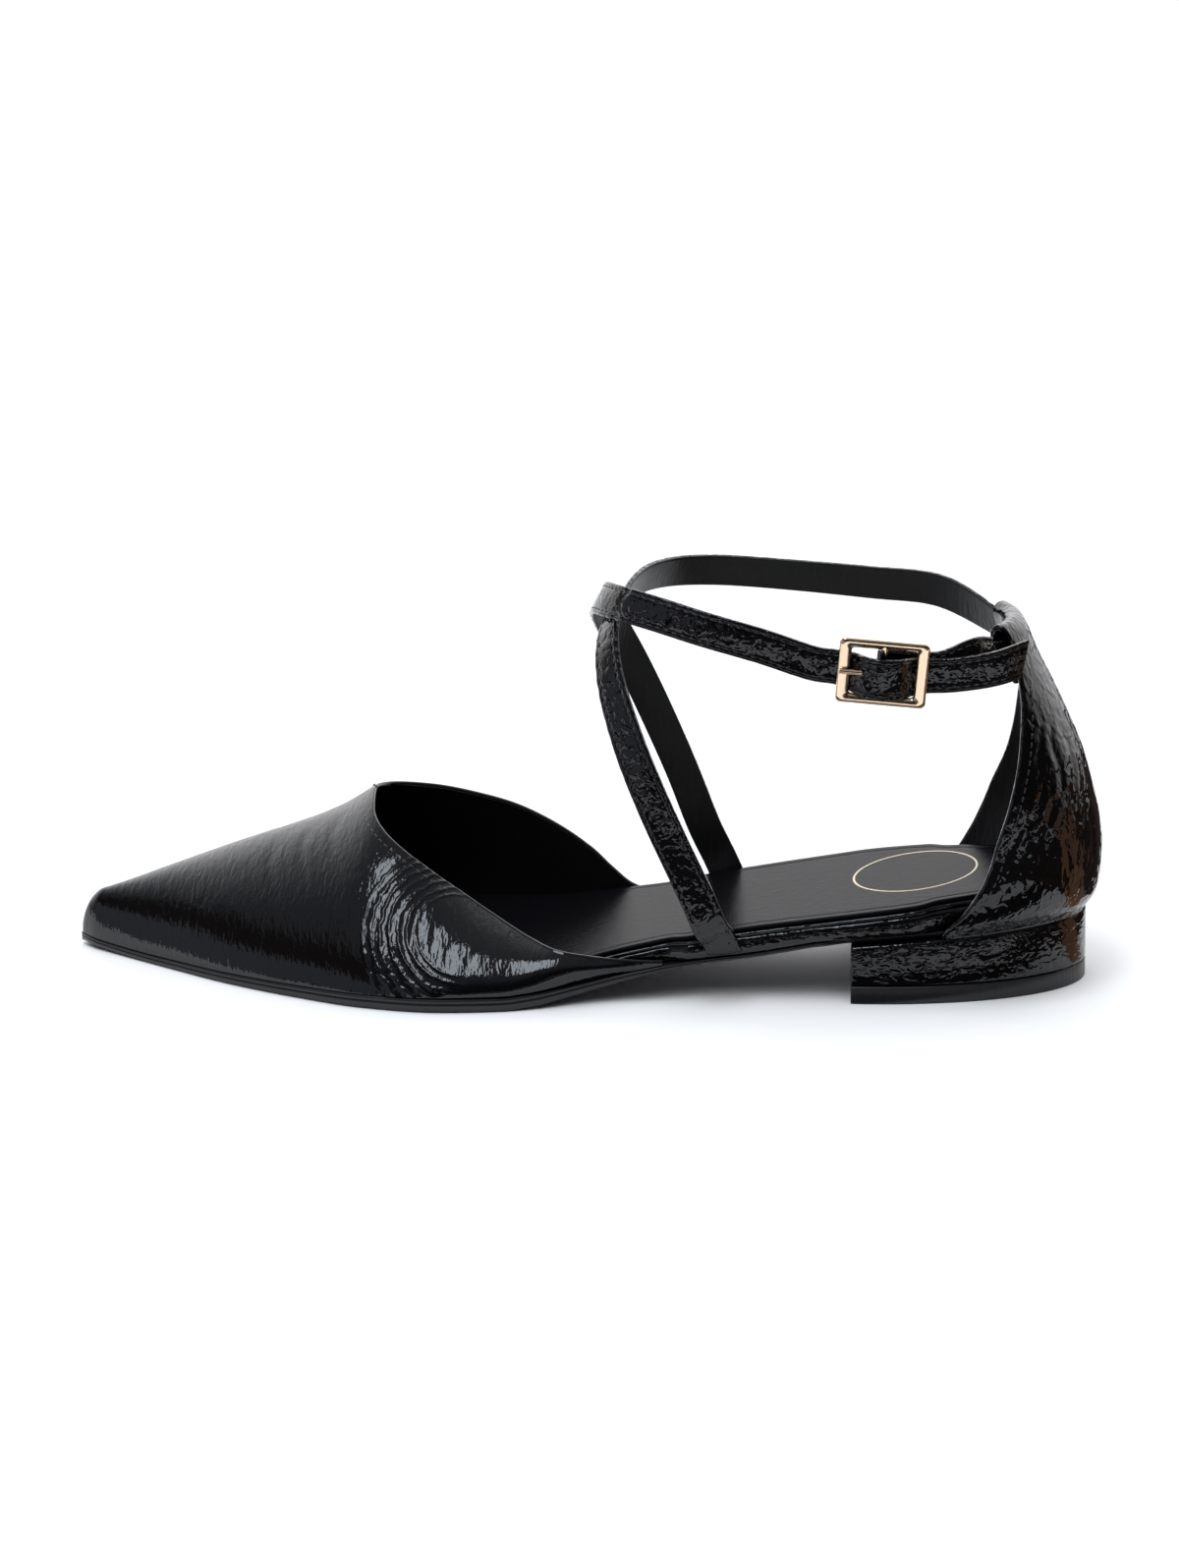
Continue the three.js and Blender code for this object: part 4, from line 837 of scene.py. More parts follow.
def soften(sheet, side):
    """Adds the swell of the wing and the listed creases to the vamp's face."""
    normal = sheet_normal(sheet)
    normal *= np.sign(np.sum(normal * np.array([0, SIGN[side], 1.0]), -1, keepdims=True))
    share = sheet[..., 0] / SHOE_LENGTH
    relief = 0 * share
    if side == "outer":
        spread = smooth_step(share, WING_SWELL["start"], WING_SWELL["rise"])
        spread = spread * (1 - smooth_step(share, WING_SWELL["fall"], WING_SWELL["end"]))
        relief = WING_SWELL["height"] * spread * np.sin(math.pi * np.linspace(0, 1, sheet.shape[1]))
    height = np.linalg.norm(np.diff(sheet, axis=1), axis=-1)
    height = np.concatenate([np.zeros((len(sheet), 1)), np.cumsum(height, 1)], 1)
    for along, turn, lean, length, width, depth in VAMP_CREASES:
        row = int(np.argmin(abs(share[:, 0] - along)))
        ahead = (share - along) * SHOE_LENGTH
        up = height - turn * height[row, -1]
        cos = math.cos(math.radians(lean))
        sin = math.sin(math.radians(lean))
        across = ahead * cos - up * sin + up**2 * CREASE_BEND
        fade = np.exp(-(((ahead * sin + up * cos) / length) ** 4))
        relief = relief - depth * fade * crease_shape(across / width)
    return sheet + normal * relief[..., None]


def vamp_sheet(side, set_in):
    x = vamp_stations()
    toe = SHOE_LENGTH - END_SLIVER
    t = (x - THROAT) / (toe - THROAT)
    station = np.where(x <= THROAT, x, THROAT + (toe - TOE_DRAW_BACK * set_in - THROAT) * t)
    turn = topline_turn(side, x)[:, None] * np.linspace(0, 1, HALF_STEPS + 1)[None, :]
    return vamp_point(side, station[:, None], turn, set_in)


def topline(sheets):
    """The edge of the opening, from the outer wing's point round the throat to the inner one."""
    return np.concatenate([sheets["outer"][:WING_STEPS + 1, -1], sheets["inner"][:WING_STEPS, -1][::-1]])


def below_topline(sheets, rows, ahead):
    """Points so many rows inside the opening's edge, and so many stations ahead of it at the throat."""
    return np.concatenate([
        sheets["outer"][:WING_STEPS, -1 - rows],
        sheets["outer"][WING_STEPS + ahead:WING_STEPS + ahead + 1, -1],
        sheets["inner"][:WING_STEPS, -1 - rows][::-1],
    ])


def make_vamp():
    """The vamp: patent outside, lining inside, with the topline rolled over."""
    out = {side: soften(vamp_sheet(side, 0), side) for side in SIGN}
    lined = {side: vamp_sheet(side, WALL) for side in SIGN}
    parts = []
    for side in SIGN:
        parts += [(out[side], FACE), (lined[side], LINED)]
        for edge in ((slice(None), 0), 0, -1):
            parts.append((np.stack([out[side][edge], lined[side][edge]], 1), FACE))
    roll = edge_roll(topline(out), topline(lined), below_topline(out, 1, 1), False, TOPLINE_BULGE)
    return mesh_of_grids("vamp_skin", parts + [(roll, FACE)], VAMP_WELD, 55)


# Straps
def catmull(points, centripetal):
    """The curve through points that the solids use, as a function of a share from 0 to 1."""
    p = np.asarray(points, float)
    ends = np.concatenate([[2 * p[0] - p[1]], p, [2 * p[-1] - p[-2]]])

    def read(t):
        t = np.asarray(t, float) * (len(p) - 1)
        i = np.clip(np.floor(t).astype(int), 0, len(p) - 2)
        w = (t - i)[:, None]
        a, b, c, d = ends[i], ends[i + 1], ends[i + 2], ends[i + 3]
        if centripetal:
            da = np.maximum(1e-4, np.linalg.norm(b - a, axis=1) ** 0.5)[:, None]
            db = np.maximum(1e-4, np.linalg.norm(c - b, axis=1) ** 0.5)[:, None]
            dc = np.maximum(1e-4, np.linalg.norm(d - c, axis=1) ** 0.5)[:, None]
            start = ((b - a) / da - (c - a) / (da + db) + (c - b) / db) * db
            end = ((c - b) / db - (d - b) / (db + dc) + (d - c) / dc) * db
        else:
            start = 0.5 * (c - a)
            end = 0.5 * (d - b)
        return b + start * w + (3 * (c - b) - 2 * start - end) * w**2 + (2 * (b - c) + start + end) * w**3

    return read


def strap_row(row):
    along, side, rise, facing, over = row
    facing = unit(np.array(facing, float))
    at = np.array([along * SHOE_LENGTH, side * BALL_WIDTH, rise * ANKLE_HEIGHT])
    return at + facing * (STRAP_THICK / 2 + over * (STRAP_THICK + GAP)), facing


def insole_reach(side, x):
    x = np.asarray(x, float)
    seat = 1 - smooth_step(x, COUNTER_FRONT, OPEN_WAIST)
    plain = edge_reach(side, x, 0)
    under = vamp_inside(side, np.maximum(x, WING_TIP), insole_top(x)) - GAP
    covered = np.minimum(edge_reach(side, x, SEAT_INSET), under)
    blend = smooth_step(x, WING_TIP - WAIST_COVER, WING_TIP - 1)
    front = lerp(plain, covered, blend) * round_end((INSOLE_TOE - x) / TOE_RADIUS)
    front = np.where(x < WING_TIP - WAIST_COVER, plain, front)
    return np.where(x < HEEL_DEPTH, heel_reach(x, SEAT_INSET * seat, SEAT_INSET), front)


def strap_root(side, x, lean):
    """The strap's tab under the insole and its turn up round the insole's edge."""
    sign = SIGN[side]
    edge = sign * (float(insole_reach(side, x)) + GAP + STRAP_THICK / 2) + float(axis_side(x))
    under = float(sole_top(x)) + ROOT_RISE + STRAP_THICK / 2
    slope = float(sole_top(x + STRAP_WIDTH / 2) - sole_top(x - STRAP_WIDTH / 2)) / STRAP_WIDTH
    down = unit(np.array([slope, 0, -1]))
    out = np.array([0, sign, 0.0])
    top = float(insole_top(x))
    rows = [
        (0, edge - sign * TAB_LENGTH, under, down),
        (0, edge - sign * TAB_LENGTH / 2, under, down),
        (0, edge - sign * ROOT_TURN, under, down),
        (0, edge - sign * ROOT_TURN * 0.3, under + ROOT_TURN * 0.3, unit(down + out)),
        (lean * ROOT_TURN, edge, under + ROOT_TURN, out),
        (lean * (top - under), edge, top, out),
    ]
    return [(np.array([x + dx, y, z]), facing) for dx, y, z, facing in rows]


def buckle_axes():
    """The buckle's middle and its three directions: along the strap, down across it and outward."""
    pitch = math.radians(BUCKLE_PLACE["pitch"])
    yaw = math.radians(BUCKLE_PLACE["yaw"])
    forward = unit(np.array([math.cos(pitch) * math.cos(yaw), math.sin(yaw), math.sin(pitch)]))
    down = unit(np.cross([-math.sin(yaw), math.cos(yaw), 0.0], forward))
    place = (BUCKLE_PLACE["along"], BUCKLE_PLACE["side"], BUCKLE_PLACE["rise"])
    return np.array(place) * (SHOE_LENGTH, BALL_WIDTH, ANKLE_HEIGHT), forward, down, np.cross(forward, down)


BUCKLE_AT, BUCKLE_FORWARD, BUCKLE_DOWN, BUCKLE_OUT = buckle_axes()


def in_buckle(points):
    """Points given in the buckle's own directions."""
    along, down, out = np.split(np.asarray(points, float), 3, axis=-1)
    return BUCKLE_AT + along * BUCKLE_FORWARD + down * BUCKLE_DOWN + out * BUCKLE_OUT


def buckle_row(along, out, up=0.0):
    return in_buckle([along, -up, out]), BUCKLE_OUT.copy()


def long_strap_rows():
    return [
        *strap_root("inner", LONG_STRAP_ROOT, LONG_STRAP_LEAN),
        *[strap_row(row) for row in LONG_STRAP_ROWS],
        buckle_row(BAR_MIDDLE + BUCKLE_RUN, UNDER_BAR + RUN_DROP),
        buckle_row(BAR_MIDDLE + 1, UNDER_BAR),
        buckle_row(WINDOW_END, UNDER_BAR, -HUMP_DROP * HUMP_STEEP),
        buckle_row(HUMP_SHOULDER, OVER_WRAP * HUMP_CORNER, -HUMP_DROP),
        buckle_row(0, OVER_WRAP, -HUMP_DROP),
        buckle_row(-HUMP_SHOULDER, OVER_WRAP * HUMP_CORNER, -HUMP_DROP),
        buckle_row(-WINDOW_END, UNDER_BAR, -HUMP_DROP * HUMP_STEEP),
        buckle_row(-BAR_MIDDLE - 1, UNDER_BAR, -HUMP_DROP * 0.4),
        buckle_row(-BAR_MIDDLE - BUCKLE_RUN, UNDER_BAR - RUN_DROP),
        *[strap_row(row) for row in FREE_END_ROWS],
    ]


TUNNEL_TILT = unit(np.array([-0.92, 0, 0.4]))


def counter_sizes():
    """The counter's rows in mm, with its two sweeps in degrees."""
    sizes = np.array(COUNTER_ROWS) * (COUNTER_HEIGHT, COUNTER_HEIGHT, HEEL_WIDTH, HEEL_WIDTH, 1, 1)
    sizes[0, 0] = HEEL_BACK + GAP
    return sizes


def loop_sizes():
    """The folded loop: up the back, over the fold and down inside."""
    z, back, depth, half = counter_sizes()[-1][:4]
    up = np.array([TUNNEL_TILT[2], -TUNNEL_TILT[0]])
    forward = np.array([-TUNNEL_TILT[0], -TUNNEL_TILT[2]])
    fold = LOOP_DEPTH / 2
    straight = STRAP_WIDTH + 2 * GAP + 2 - fold * 0.6

    def row(rise, ahead):
        return [
            z + up[1] * rise + forward[1] * ahead,
            back + up[0] * rise + forward[0] * ahead,
            depth - ahead * LOOP_TAPER,
            half - ahead * LOOP_TAPER,
            LOOP_HALF_ANGLE,
            LOOP_HALF_ANGLE,
        ]

    rows = [row(straight * 0.5, 0), row(straight, 0)]
    for degrees in (35, 70, 110, 145):
        angle = math.radians(degrees)
        rows.append(row(straight + fold * math.sin(angle), fold * (1 - math.cos(angle))))
    rows += [row(straight, LOOP_DEPTH), row(straight * 0.5, LOOP_DEPTH), row(0, LOOP_DEPTH)]
    rows.append(row(-fold * 1.1, LOOP_DEPTH * 0.86))
    return np.array(rows)


def counter_point(sizes, angle):
    z, back, depth, half = (sizes[..., k:k + 1] for k in range(4))
    x = back + depth * (1 - np.cos(angle))
    seat = np.clip(1 - (z - HEEL_BACK) / (HEEL_BACK * SEAT_BLEND), 0, 1)
    return np.stack([x, half * np.sin(angle), z + (heel_top(x) - HEEL_BACK) * seat], -1)


def tunnel_rows():
    """The loop strap's way through the counter's loop."""
    z, back, depth = counter_sizes()[-1][:3]
    rise = STRAP_WIDTH / 2 + GAP
    ahead = WALL + LOOP_SPACE / 2
    reach = depth - ahead
    rows = []
    for share in (-1, -0.5, 0, 0.5, 1):
        angle = math.radians(share * (LOOP_HALF_ANGLE + TUNNEL_ROOM))
        x = back + TUNNEL_TILT[2] * rise - ahead * TUNNEL_TILT[0] + reach * (1 - math.cos(angle))
        at = np.array([x, reach * math.sin(angle), z - rise * TUNNEL_TILT[0] - ahead * TUNNEL_TILT[2]])
        cos = math.cos(angle)
        facing = np.array([cos * TUNNEL_TILT[0], -math.sin(angle) * TUNNEL_TILT[0], cos * TUNNEL_TILT[2]])
        rows.append((at, unit(facing)))
    return rows


def loop_strap_rows():
    inside = UNDER_BAR - STRAP_THICK - 2 * GAP

    def turned(degrees):
        angle = math.radians(degrees)
        at = in_buckle([math.sin(angle) * WRAP_RADIUS, -WRAP_LIFT, -math.cos(angle) * WRAP_RADIUS])
        facing = -(math.sin(angle) * BUCKLE_FORWARD - math.cos(angle) * BUCKLE_OUT)
        return at, facing

    return [
        *strap_root("outer", STRAP_ROOT, LOOP_STRAP_LEAN),
        *[strap_row(row) for row in LOOP_STRAP_ROWS],
        *tunnel_rows(),
        strap_row(LOOP_STRAP_SIDE_ROW),
        buckle_row(-BAR_MIDDLE - BUCKLE_RUN, inside - RUN_DROP, WRAP_LIFT * 2.5),
        buckle_row(-BAR_MIDDLE, inside, WRAP_LIFT),
        buckle_row(-BAR_MIDDLE * 0.5, inside * 0.45 - WRAP_RADIUS * 0.55, WRAP_LIFT),
        *[turned(degrees) for degrees in (-20, 30, 80, 125, 170)],
    ]


def strap_frames(rows):
    """Evenly spaced places along a strap with its three directions."""
    middle = catmull([at for at, _ in rows], True)
    facing = catmull([out for _, out in rows], False)
    share = np.linspace(0, 1, PATH_STEPS)
    length = travelled(middle(share))
    even = np.interp(np.linspace(0, length[-1], int(length[-1] / STRAP_STEP)), length, share)
    at = blurred(middle(even), PATH_BLUR)
    out = blurred(facing(even), PATH_BLUR * 2)
    along = unit(np.gradient(at, axis=0))
    out = unit(out - along * np.sum(out * along, -1, keepdims=True))
    return {"at": at, "along": along, "out": out, "across": np.cross(along, out), "length": travelled(at)}


def strap_profile():
    """The strap's section: a crowned face with a sewn groove near each edge, and a flat back."""
    half = STRAP_WIDTH / 2
    thick = STRAP_THICK / 2
    face = [
        (half - 0.12, thick - 0.5),
        (half - 0.14, thick - 0.26),
        (half - 0.42, thick - 0.04),
        (half - 0.85, thick + 0.02),
        (half - STITCH_INSET + 0.22, thick - 0.03),
        (half - STITCH_INSET, thick - 0.16),
        (half - STITCH_INSET - 0.25, thick - 0.03),
        (half - STITCH_INSET - 0.7, thick + 0.07),
        (half - STITCH_INSET - 1.6, thick + 0.14),
        (0, thick + 0.16),
    ]
    back = [
        (half - 0.12, -thick + 0.42),
        (half - 0.14, -thick + 0.2),
        (half - 0.3, -thick + 0.05),
        (half - 0.7, -thick),
        (0, -thick),
    ]
    upper = face + [(-a, b) for a, b in face[-2::-1]]
    lower = [(-a, b) for a, b in back] + back[-2::-1]
    return np.array(upper + lower), len(upper)


def sweep_strap(name, frames, creases, end_cut=0.0):
    """A strap along its path, wider in the buckle and creased, its end cut askew by so much."""
    profile, upper = strap_profile()
    count = len(frames["at"])
    from_buckle = np.linalg.norm(frames["at"] - BUCKLE_AT, axis=1) / HUMP_REACH
    spread = 1 + HUMP_SPREAD * np.exp(-(from_buckle**4))
    profile = profile[None] * np.stack([spread, np.ones(count)], 1)[:, None, :]
    face = np.arange(profile.shape[1]) < upper
    for k, place in enumerate(creases):
        lean = CREASE_LEAN * math.sin(2.7 * k + 1)
        from_crease = frames["length"][:, None] - place - lean * profile[..., 0]
        dip = CREASE_DEPTH * (1 + 0.5 * math.sin(4.1 * k)) * crease_shape(from_crease / CREASE_WIDTH)
        profile[..., 1] -= np.where(face[None, :], dip, 0)
    left = frames["length"][-1] - frames["length"]
    skew = end_cut * np.clip(1 - left / FREE_END_ROOM, 0, 1)
    points = (
        frames["at"][:, None]
        + frames["across"][:, None] * profile[..., 0:1]
        + frames["out"][:, None] * profile[..., 1:2]
        + frames["along"][:, None] * (skew[:, None] * profile[..., 0] / STRAP_WIDTH)[..., None]
    )
    slot = np.full((count - 1, profile.shape[1]), FACE)
    slot[:, upper:-1] = LINED
    return loft(name, points, 60, np.append(slot.ravel(), [FACE, FACE]))


def stitches(name, lines):
    """Rows of short threads, each a small capsule laid along a line of places and outward directions."""
    angle = np.arange(THREAD_SIDES) * 2 * math.pi / THREAD_SIDES
    station, girth = np.array(THREAD_SHAPE).T
    dip = THREAD_RADIUS * (THREAD_SINK + 3 * abs(station) ** 3)
    points = []
    faces = []
    for at, out in lines:
        distance = travelled(at)
        for place in np.arange(STITCH_PITCH / 2, distance[-1] - STITCH_PITCH / 2, STITCH_PITCH):
            centre = read_path(place, distance, at)
            along = unit(read_path(place + THREAD_AIM, distance, at) - centre)
            side = unit(np.cross(along, unit(read_path(place, distance, out))))
            up = np.cross(side, along)
            circle = side * np.cos(angle)[:, None] + up * np.sin(angle)[:, None]
            rows = (
                centre
                + along * (station * STITCH_LENGTH)[:, None, None]
                - up * dip[:, None, None]
                + circle[None] * (girth * THREAD_RADIUS)[:, None, None]
            )
            faces += grid_faces(*rows.shape[:2], THREAD_SIDES * len(station) * len(points), wrap=True).tolist()
            points.append(rows.reshape(-1, 3))
    return finish_mesh(place_mesh(name, np.concatenate(points), faces))


def tube(name, centres, radius, ring=16):
    """A round bar along a path."""
    centres = np.asarray(centres, float)
    along = unit(np.gradient(centres, axis=0))
    start = unit(np.cross(along[0], TUBE_START))
    angle = np.arange(ring)[:, None] * 2 * math.pi / ring
    loops = []
    for centre, direction in zip(centres, along):
        start = unit(start - direction * np.dot(start, direction))
        loops.append(centre + radius * (np.cos(angle) * start + np.sin(angle) * np.cross(direction, start)))
    return loft(name, loops, 50)


def punch(piece, frames, places):
    """Cuts round holes through a strap's face, down to its lining."""
    pins = []
    for place in places:
        k = int(np.argmin(abs(frames["length"] - place)))
        reach = frames["out"][k] * STRAP_THICK * 1.5
        pin = tube("pin", [frames["at"][k] + reach * s for s in (0, 0.5, 1)], HOLE_RADIUS, 24)
        cut = piece.modifiers.new("cut", "BOOLEAN")
        cut.object = pin
        cut.operation = "DIFFERENCE"
        cut.solver = "EXACT"
        pins.append(pin)
    bpy.context.view_layer.update()
    ready = piece.evaluated_get(bpy.context.evaluated_depsgraph_get())
    mesh = bpy.data.meshes.new_from_object(ready)
    piece.modifiers.clear()
    piece.data = mesh
    for pin in pins:
        bpy.data.objects.remove(pin)


def strap_stitches(name, frames, start, end):
    """Thread sewn beside both edges of a strap, but for so many mm at its start and end."""
    keep = (frames["length"] > start) & (frames["length"] < frames["length"][-1] - end)
    lines = []
    for sign in (1, -1):
        aside = frames["across"] * sign * (STRAP_WIDTH / 2 - STITCH_INSET)
        at = frames["at"] + aside + frames["out"] * (STRAP_THICK / 2 - STRAP_THREAD_BED)
        lines.append((at[keep], frames["out"][keep]))
    return stitches(name, lines)


# Counter
def catmull_by(at, values):
    """A smooth curve through rows of values at uneven places."""
    gap = np.diff(at)
    slope = np.diff(values, axis=0) / gap[:, None]
    weight = (gap[1:] / (gap[:-1] + gap[1:]))[:, None]
    middle = slope[:-1] * weight + slope[1:] * (1 - weight)
    return curve_through(at, values, np.concatenate([slope[:1], middle, slope[-1:]]))


def make_counter():
    """The counter with its loop. Its face and outward directions go with it, for the stitches."""
    sizes = np.concatenate([counter_sizes(), loop_sizes()])
    at = travelled(sizes[:, :2])
    place = np.linspace(0, at[-1], COUNTER_STEPS)
    rows = blurred(catmull_by(at, sizes)(place), COUNTER_BLUR)
    t = np.linspace(-1, 1, COUNTER_COLUMNS + 1)[None, :]
    sweep = np.where(t > 0, rows[:, 4:5], rows[:, 5:6])
    outer = counter_point(rows[:, :4], np.radians(t * sweep))
    inward = unit(np.cross(np.gradient(outer, axis=1), np.gradient(outer, axis=0)))
    inward[0, :, 2] = 0
    inward = unit(inward)
    inner = outer + inward * WALL
    share = (place / at[-1])[:, None] / COUNTER_SHARE
    for turn, rise, length, width, depth, sway in COUNTER_CREASES:
        up = (share - rise) / length
        across = (t - turn) * np.radians(sweep) * rows[:, 3:4] + sway * np.sin(up * SWAY_WAVE)
        dip = depth * np.exp(-(up**4)) * crease_shape(across / width)
        outer = outer + inward * dip[..., None]
    return shell("counter_skin", outer, inner), outer, -inward


def topline_stitches(name):
    """Thread sewn all along the vamp's topline."""
    out = {side: vamp_sheet(side, 0) for side in SIGN}
    rim = topline(out)
    along = unit(np.gradient(rim, axis=0))
    inward = below_topline(out, 3, 4) - rim
    inward = unit(blurred(unit(inward - along * np.sum(inward * along, -1, keepdims=True)), PATH_BLUR))
    normal = unit(np.cross(along, inward))
    middle = rim.mean(0) - (0, 0, THROAT_HEIGHT)
    normal *= np.sign(np.sum(normal * (rim - middle), -1, keepdims=True))
    at = rim + inward * TOPLINE_STITCH - normal * TOPLINE_THREAD_BED
    sewn = slice(TOPLINE_UNSEWN, -TOPLINE_UNSEWN)
    return stitches(name, [(at[sewn], normal[sewn])])


def counter_stitches(name, face, out):
    """Thread sewn beside the counter's two front edges."""
    sewn = slice(COUNTER_UNSEWN, int(len(face) * COUNTER_SHARE))
    lines = []
    for edge in (slice(None), slice(None, None, -1)):
        at = []
        facing = []
        for row, directions in zip(face[sewn, edge], out[sewn, edge]):
            distance = travelled(row)
            at.append(read_path(COUNTER_STITCH, distance, row))
            facing.append(read_path(COUNTER_STITCH, distance, directions))
        lines.append((np.array(at), unit(np.array(facing))))
    return stitches(name, lines)


# Materials
def add_node(tree, kind, inputs=(), **settings):
    """A new node. Each of its inputs is a value, or the socket that feeds it."""
    node = tree.nodes.new(kind)
    for key, value in settings.items():
        setattr(node, key, value)
    for key, value in dict(inputs).items():
        if isinstance(value, bpy.types.NodeSocket):
            tree.links.new(value, node.inputs[key])
        else:
            node.inputs[key].default_value = value
    return node


def principled(name, inputs):
    material = bpy.data.materials.new(name)
    material.use_nodes = True
    shader = material.node_tree.nodes["Principled BSDF"]
    for key, value in inputs.items():
        shader.inputs[key].default_value = value
    return material, material.node_tree, shader


def placed(tree, inputs):
    """The piece's own coordinates, moved or stretched."""
    place = add_node(tree, "ShaderNodeTexCoord").outputs["Object"]
    return add_node(tree, "ShaderNodeMapping", {"Vector": place, **inputs}).outputs["Vector"]


def span_of(tree, value, low, high):
    """A smooth step of a value from 0 at one end to 1 at the other."""
    inputs = {"Value": value, "From Min": low, "From Max": high}
    return add_node(tree, "ShaderNodeMapRange", inputs, interpolation_type="SMOOTHSTEP").outputs[0]


def maths(tree, operation, first, second):
    return add_node(tree, "ShaderNodeMath", {0: first, 1: second}, operation=operation).outputs[0]


def bumped(tree, height, depth, under=None):
    """The normal of a bump, its depth in mm, laid over an earlier one."""
    inputs = {"Height": height, "Strength": 1.0, "Distance": depth * MM}
    if under:
        inputs["Normal"] = under
    return add_node(tree, "ShaderNodeBump", inputs).outputs["Normal"]


def grain(tree, depth, stretch, noise, under=None):
    """A bump of noise, its depth in mm."""
    place = placed(tree, {"Scale": stretch})
    texture = add_node(tree, "ShaderNodeTexNoise", {"Vector": place, **noise})
    return bumped(tree, texture.outputs["Fac"], depth, under)


def ring_height(tree):
    """Fine wavy ridges round the toe side of a centre, between two radii."""
    place = placed(tree, {"Location": tuple(-side * MM for side in RING_CENTRE)})
    waves = {
        "Vector": place,
        "Scale": math.pi / 10 / (RING_PITCH * MM),
        "Distortion": RING_WOBBLE,
        "Detail": 2.0,
        "Detail Scale": RING_WOBBLE_SCALE,
    }
    wave = add_node(tree, "ShaderNodeTexWave", waves, wave_type="RINGS", rings_direction="SPHERICAL")
    away = add_node(tree, "ShaderNodeVectorMath", {0: place}, operation="LENGTH").outputs["Value"]
    ahead = add_node(tree, "ShaderNodeSeparateXYZ", {0: place}).outputs["X"]
    height = maths(tree, "POWER", wave.outputs["Fac"], 2.0)
    for value, low, high in (
        (away, RING_INNER, RING_INNER + RING_EDGE),
        (away, RING_OUTER, RING_OUTER - RING_EDGE),
        (ahead, *RING_FADE),
    ):
        height = maths(tree, "MULTIPLY", height, span_of(tree, value, low * MM, high * MM))
    return height


def patent(name, layers, ringed=False):
    """Black crinkled patent: a clear coat over layers of bumps, each with its pitches and depth in mm."""
    material, tree, shader = principled(name, {
        "Base Color": (0.0018, 0.0017, 0.0019, 1),
        "Roughness": 0.42,
        "Specular IOR Level": 0.0,
        "Coat Weight": 1.0,
        "Coat Roughness": 0.018,
        "Coat IOR": 1.5,
    })
    normal = None
    for pitch, depth, detail, twist in layers:
        noise = {"Scale": 1.0, "Detail": detail, "Roughness": 0.5, "Distortion": twist}
        normal = grain(tree, depth, tuple(1 / (side * MM) for side in pitch), noise, normal)
    if ringed:
        normal = bumped(tree, ring_height(tree), RING_DEPTH, normal)
    tree.links.new(normal, shader.inputs["Normal"])
    tree.links.new(normal, shader.inputs["Coat Normal"])
    return material


def grained(name, inputs, depth, noise, stretch=(1, 1, 1)):
    """A plain material with one grain of noise."""
    material, tree, shader = principled(name, inputs)
    tree.links.new(grain(tree, depth, stretch, noise), shader.inputs["Normal"])
    return material


def soft_black(name, colour, roughness, pitch, depth, index=1.5, stretch=(1, 1, 1)):
    """Lining, rubber or thread, with the pitch and depth of its grain in mm."""
    inputs = {"IOR": index, "Base Color": (*colour, 1), "Roughness": roughness}
    noise = {"Scale": 1 / (pitch * MM), "Detail": 3.0, "Roughness": 0.6}
    return grained(name, inputs, depth, noise, stretch)


PATENT_VAMP = patent("patent_vamp", VAMP_CRINKLE, True)
PATENT_COUNTER = patent("patent_counter", COUNTER_CRINKLE)
PATENT_HEEL = patent("patent_heel", HEEL_CRINKLE)
PATENT_BAND = patent("patent_band", BAND_CRINKLE)
PATENT_STRAP = patent("patent_strap", STRAP_CRINKLE)
LINING = soft_black("lining", (0.0035, 0.0033, 0.0036), 0.42, 1.0, 0.16, stretch=(1, 1, 0.12))
SOCK_FACE = soft_black("sock_face", (0.0035, 0.0035, 0.0045), 0.25, 0.9, 0.1, index=1.1, stretch=(0.25, 1, 1))
SOLE_RUBBER = soft_black("sole_rubber", (0.008, 0.008, 0.009), 0.32, 1.5, 0.03)
LIFT_RUBBER = soft_black("lift_rubber", (0.012, 0.012, 0.013), 0.34, 0.9, 0.12, stretch=(1, 1, 0.08))
THREAD = soft_black("thread", (0.02, 0.02, 0.022), 0.22, 0.35, 0.03)
RING_GOLD = soft_black("ring_gold", (0.75, 0.6, 0.4), 0.4, 0.5, 0.01)
GOLD = grained(
    "pale_gold",
    {"Base Color": (0.86, 0.66, 0.47, 1), "Metallic": 1.0, "Roughness": 0.14},
    0.01,
    {"Scale": 900.0, "Detail": 2.0},
)


def dress(piece, slot, *materials, replaces=()):
    for material in materials:
        piece.data.materials.append(material)
    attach(piece, "root")
    if replaces:
        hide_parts(*replaces)


# Pieces
def flat_at(z):
    return lambda x: np.full_like(x, z)


def breast_round(x, radius):
    """How much the heel draws in where its sides turn into the breast."""
    return radius * (1 - round_end((HEEL_DEPTH - x) / radius))


def lift_reach(side, x):
    return edge_reach(side, x, 0) + LIFT_PROUD * np.minimum(1, x) - breast_round(x, LIFT_ROUND)


def outsole_reach(side, x):
    seat = SEAT_INSET + GAP
    opening = smooth_step(x, HEEL_DEPTH, HEEL_DEPTH + SEAT_OPENING)
    share = x / SHOE_LENGTH
    spread = smooth_step(share, WAIST_END_SHARE - SPREAD_BEFORE, WING_TIP / SHOE_LENGTH + SPREAD_AFTER)
    lip = lerp(SOLE_LIP, TOE_LIP, smooth_step(share, TOE_LIP_START, 1))
    inset = lerp(lerp(seat, WAIST_INSET, opening), -lip, spread)
    return np.where(x < HEEL_DEPTH, heel_reach(x, seat, seat), front_reach(side, x, inset))


